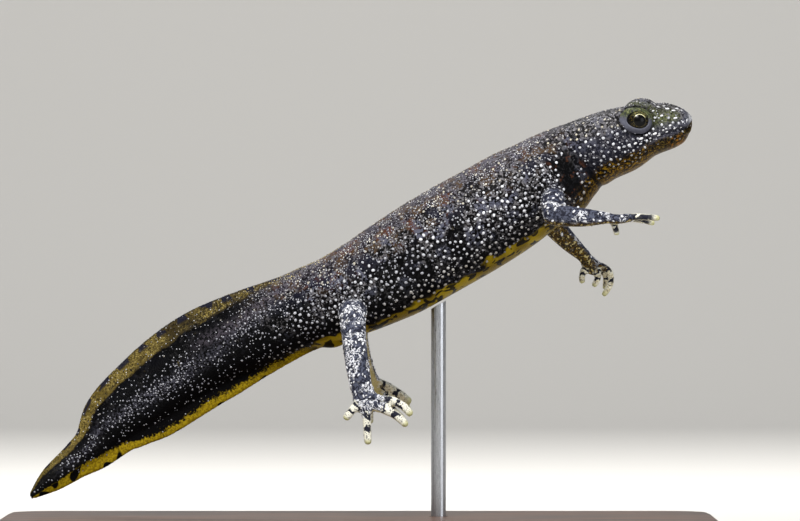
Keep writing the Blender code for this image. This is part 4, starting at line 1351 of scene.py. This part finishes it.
def paintLids():
    p = Paint("eyelidSkin", Roughness=0.38, Specular_IOR_Level=0.12)
    over, rim = p.field("over"), p.field("rim")
    grain = p.noise(0.22, 3.0, 0.6)
    lower = p.mix(p.ramp(grain, 0.30, 0.62), "slate", "lid")
    upper = p.mix(p.ramp(grain, 0.36, 0.54), "night", "green")
    p.colour = p.mix(p.ramp(over, -0.05, 0.45), lower, upper)
    p.coat("fleck", p.ramp(grain, 0.57, 0.63), p.ramp(over, 0.0, 0.3), 0.8)
    # painted shade: black towards the crease where the lids meet the head
    p.coat("black", p.ramp(rim, 0.50, 0.95))
    return p.finish(p.colour, grain, 0.4, 0.05)


def buildLids(side, name, material):
    eye, look, _, _ = eyePlace(side)
    ahead, over = lidAxes(side)
    bm = bmesh.new()

    def place(ring, turn):
        angle = turn * math.tau
        c, s = np.cos(angle), np.sin(angle)
        wide = np.where(c > 0, lids["ahead"], lids["back"])
        tall = np.where(s > 0, lids["over"], lids["under"])
        start = 1 / np.sqrt((c / wide) ** 2 + (s / tall) ** 2)
        steps = [(start + extra, radius) for extra, radius in lids["profile"]]
        steps += [(start + (lids["outerAt"] - start) * f, radius) for f, radius in lids["outer"]]
        steps += [(lids["outerAt"] * 1.1 + 0 * start, 1.30), (start + 12, 1.25)]
        facing = np.choose(ring % len(steps), [x[0] for x in steps])
        reach = np.array([x[1] for x in steps])[ring % len(steps)]
        outward = ramp01(facing, start + 8, lids["outerAt"]) * lids["longer"]
        wider = 1 + outward * np.where(c < 0, c**2, 0.1 * c**2) - outward * 0.35 * s**2
        facing = np.radians(facing)
        flat = (np.sin(facing) * wider)[:, None] * (ahead * c[:, None] + over * s[:, None])
        return eye + (look * np.cos(facing)[:, None] + flat) * reach[:, None]

    count = len(lids["profile"]) + len(lids["outer"]) + 2
    wrapGrid(bm, count + 1, lids["turns"], place)
    made = newObject(name, bm, material)
    softer = made.modifiers.new("round", "SUBSURF")
    softer.levels = softer.render_levels = 2
    mesh = applied(made)
    points = meshPoints(mesh) - eye
    reach = np.linalg.norm(points, axis=1)
    facing = np.degrees(np.arccos(np.clip(points @ look / reach, -1, 1)))
    lift = noiseAt(meshPoints(mesh), 0.5) * 0.03 * (reach > 1.55)
    putPoints(mesh, meshPoints(mesh) + points / reach[:, None] * lift[:, None])
    putAttribute(mesh, "over", points @ over / 1.6)
    # rim: 1 towards the crease round the lids, where they get painted shade
    putAttribute(mesh, "rim", ramp01(facing, 74, 92))
    made = linked(name, mesh)
    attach(made, "root")


def paintEye():
    p = Paint("eyeGloss", Roughness=0.3, Specular_IOR_Level=0.1, Coat_Weight=0.14, Coat_Roughness=0.08)
    gaze, over = p.field("gaze"), p.field("over")
    grain = p.noise(0.15, 3.0, 0.65)
    p.colour = p.mix(p.times(p.ramp(grain, 0.52, 0.66), 0.7), "black", "olive")
    upper = p.mix(p.ramp(grain, 0.50, 0.66), "green", "straw")
    p.coat(upper, p.times(p.ramp(over, 0.3, 0.85), p.ramp(grain, 0.40, 0.54, 0.2, 1.0), 0.7))
    p.coat("black", p.ramp(gaze, 44, 58))
    p.coat("gold", p.ramp(gaze, 26, 26.8), p.ramp(gaze, 29.8, 28.8), p.ramp(over, 0.40, 0.80, 0.03, 1.0))
    p.coat("pupil", p.ramp(gaze, 27, 26))
    return p.finish(p.colour)


def buildEye(side, name, node, material):
    eye, look, _, _ = eyePlace(side)
    _, over = lidAxes(side)
    turn = Matrix((np.cross(over, look), over, look)).transposed()
    bm = bmesh.new()
    placed = Matrix.Translation(Vector(eye) * mm) @ turn.to_4x4()
    bmesh.ops.create_uvsphere(bm, u_segments=48, v_segments=40, radius=eyes["radius"] * mm, matrix=placed)
    made = newObject(name, bm, material)
    points = meshPoints(made.data) - eye
    facing = np.degrees(np.arccos(np.clip(points @ look / np.linalg.norm(points, axis=1), -1, 1)))
    flat = points - np.outer(points @ look, look)
    putAttribute(made.data, "gaze", facing)
    putAttribute(made.data, "over", flat @ over / np.maximum(np.linalg.norm(flat, axis=1), 1e-6))
    cornea = eyes["cornea"] * bell(facing, 0, eyes["corneaTurn"])
    putPoints(made.data, eye + points * (1 + cornea / eyes["radius"])[:, None])
    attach(made, "root")
    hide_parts(node)


lidPaint, eyePaint = paintLids(), paintEye()
for side, hand in ((left, "Left"), (right, "Right")):
    buildLids(side, "lids" + hand, lidPaint)
for side, hand in ((left, "Left"), (right, "Right")):
    buildEye(side, "eyeball" + hand, "eye_" + hand.lower(), eyePaint)
print("eyes set")


# Stand: stained wood and a brushed rod, both carried over from the frame
woodTones = {"dark": rgb(54, 34, 22), "light": rgb(112, 74, 47), "pore": rgb(34, 21, 14)}
steelTones = {"dark": rgb(168, 170, 174), "light": rgb(206, 208, 212)}


def paintWood():
    p = Paint("stainedWood", Roughness=0.42, Coat_Weight=0.3, Coat_Roughness=0.25)
    stretched = p.add("Mapping", {"Vector": p.spot, "Scale": (0.09, 1.0, 1.0)}).outputs[0]
    grain = p.noise(1.5, 5.0, 0.6, 0.6, stretched)
    pores = p.noise(0.25, 2.0, 0.5, 0.0, stretched)
    p.colour = p.mix(p.ramp(grain, 0.35, 0.68), woodTones["dark"], woodTones["light"])
    p.coat(woodTones["pore"], p.ramp(pores, 0.60, 0.68), 0.6)
    return p.finish(p.colour, p.sum(grain, pores), 0.15, 0.08)


def paintSteel():
    p = Paint("brushedRod", Metallic=1.0, Roughness=0.3)
    stretched = p.add("Mapping", {"Vector": p.spot, "Scale": (1, 1, 0.04)}).outputs[0]
    lines = p.noise(0.06, 2.0, 0.5, 0.0, stretched)
    tone = p.mix(lines, steelTones["dark"], steelTones["light"])
    return p.finish(tone, lines, 0.08, 0.01, p.ramp(lines, 0.3, 0.7, 0.24, 0.38))


for node, material in (("stand_base", paintWood()), ("stand_rod", paintSteel())):
    for materialSlot in bpy.data.objects[node].material_slots:
        materialSlot.material = material
print("stand finished")


# Studio: a pale floor that sweeps up a little way behind, soft lamps, and a long lens from the side
studio = {
    "lensAt": (4.98, -900.0, 35.68),
    "frameWide": 96.0,
    "film": 36,
    "clip": (0.05, 20),
    "sweep": 700.0,
    "rise": 55,  # degrees that the floor curves up
    "floor": rgb(206, 204, 200),
    "lamps": (
        # name, place in mm, aim in mm, size in mm, power in watts, colour
        ("key", (-60, -300, 400), (0, 0, 30), 170, 2.9, (1.0, 0.98, 0.95)),
        ("fill", (330, -300, 120), (0, 0, 30), 260, 0.45, (0.93, 0.96, 1.0)),
        ("rim", (-60, 230, 330), (0, 0, 30), 160, 0.45, (1.0, 1.0, 1.0)),
        ("backdrop", (0, 250, 420), (0, 760, 120), 500, 3.4, (1.0, 0.99, 0.97)),
    ),
    "sky": 0.26,
    "skyTone": (0.95, 0.97, 1.0, 1),
}


def paintFloor():
    p = Paint("paleFloor", Roughness=0.75)
    return p.finish(studio["floor"], p.noise(3.0, 3.0), 0.05, 0.1)


def buildFloor():
    bm = bmesh.new()
    reach = studio["sweep"] * mm
    front = bm.verts.new((-4 * reach, -3 * reach, 0))
    back = bm.verts.new((-4 * reach, reach, 0))
    bm.edges.new((front, back))
    bmesh.ops.spin(bm, geom=[back], cent=(0, reach, 0.5 * reach), axis=(1, 0, 0), dvec=(0, 0, 0),
                   angle=math.radians(studio["rise"]), steps=16, use_merge=False)
    bmesh.ops.remove_doubles(bm, verts=bm.verts, dist=1e-6)
    wide = bmesh.ops.extrude_edge_only(bm, edges=list(bm.edges))["geom"]
    farSide = [g for g in wide if isinstance(g, bmesh.types.BMVert)]
    bmesh.ops.translate(bm, vec=(8 * reach, 0, 0), verts=farSide)
    floor = newObject("floor", bm, paintFloor())


def hangLamps():
    for name, place, target, size, power, colour in studio["lamps"]:
        lamp = bpy.data.lights.new(name, "AREA")
        lamp.shape = "DISK"
        lamp.size = size * mm
        lamp.energy = power
        lamp.color = colour
        holder = linked(name, lamp)
        holder.location = Vector(place) * mm
        aim = Vector(target) * mm - holder.location
        holder.rotation_euler = aim.to_track_quat("-Z", "Y").to_euler()
    world = bpy.context.scene.world or bpy.data.worlds.new("soft")
    bpy.context.scene.world = world
    world.use_nodes = True
    sky = world.node_tree.nodes["Background"]
    sky.inputs["Color"].default_value = studio["skyTone"]
    sky.inputs["Strength"].default_value = studio["sky"]


def setCamera():
    lens = bpy.data.cameras.new("lens")
    lens.sensor_width = studio["film"]
    lens.lens = studio["film"] * -studio["lensAt"][1] / studio["frameWide"]
    lens.clip_start, lens.clip_end = studio["clip"]
    camera = linked("camera", lens)
    camera.location = Vector(studio["lensAt"]) * mm
    camera.rotation_euler = (math.radians(90), 0, 0)
    bpy.context.scene.camera = camera
    bpy.context.scene.view_settings.view_transform = "Standard"


buildFloor()
hangLamps()
setCamera()
bpy.context.view_layer.update()
print("studio ready")
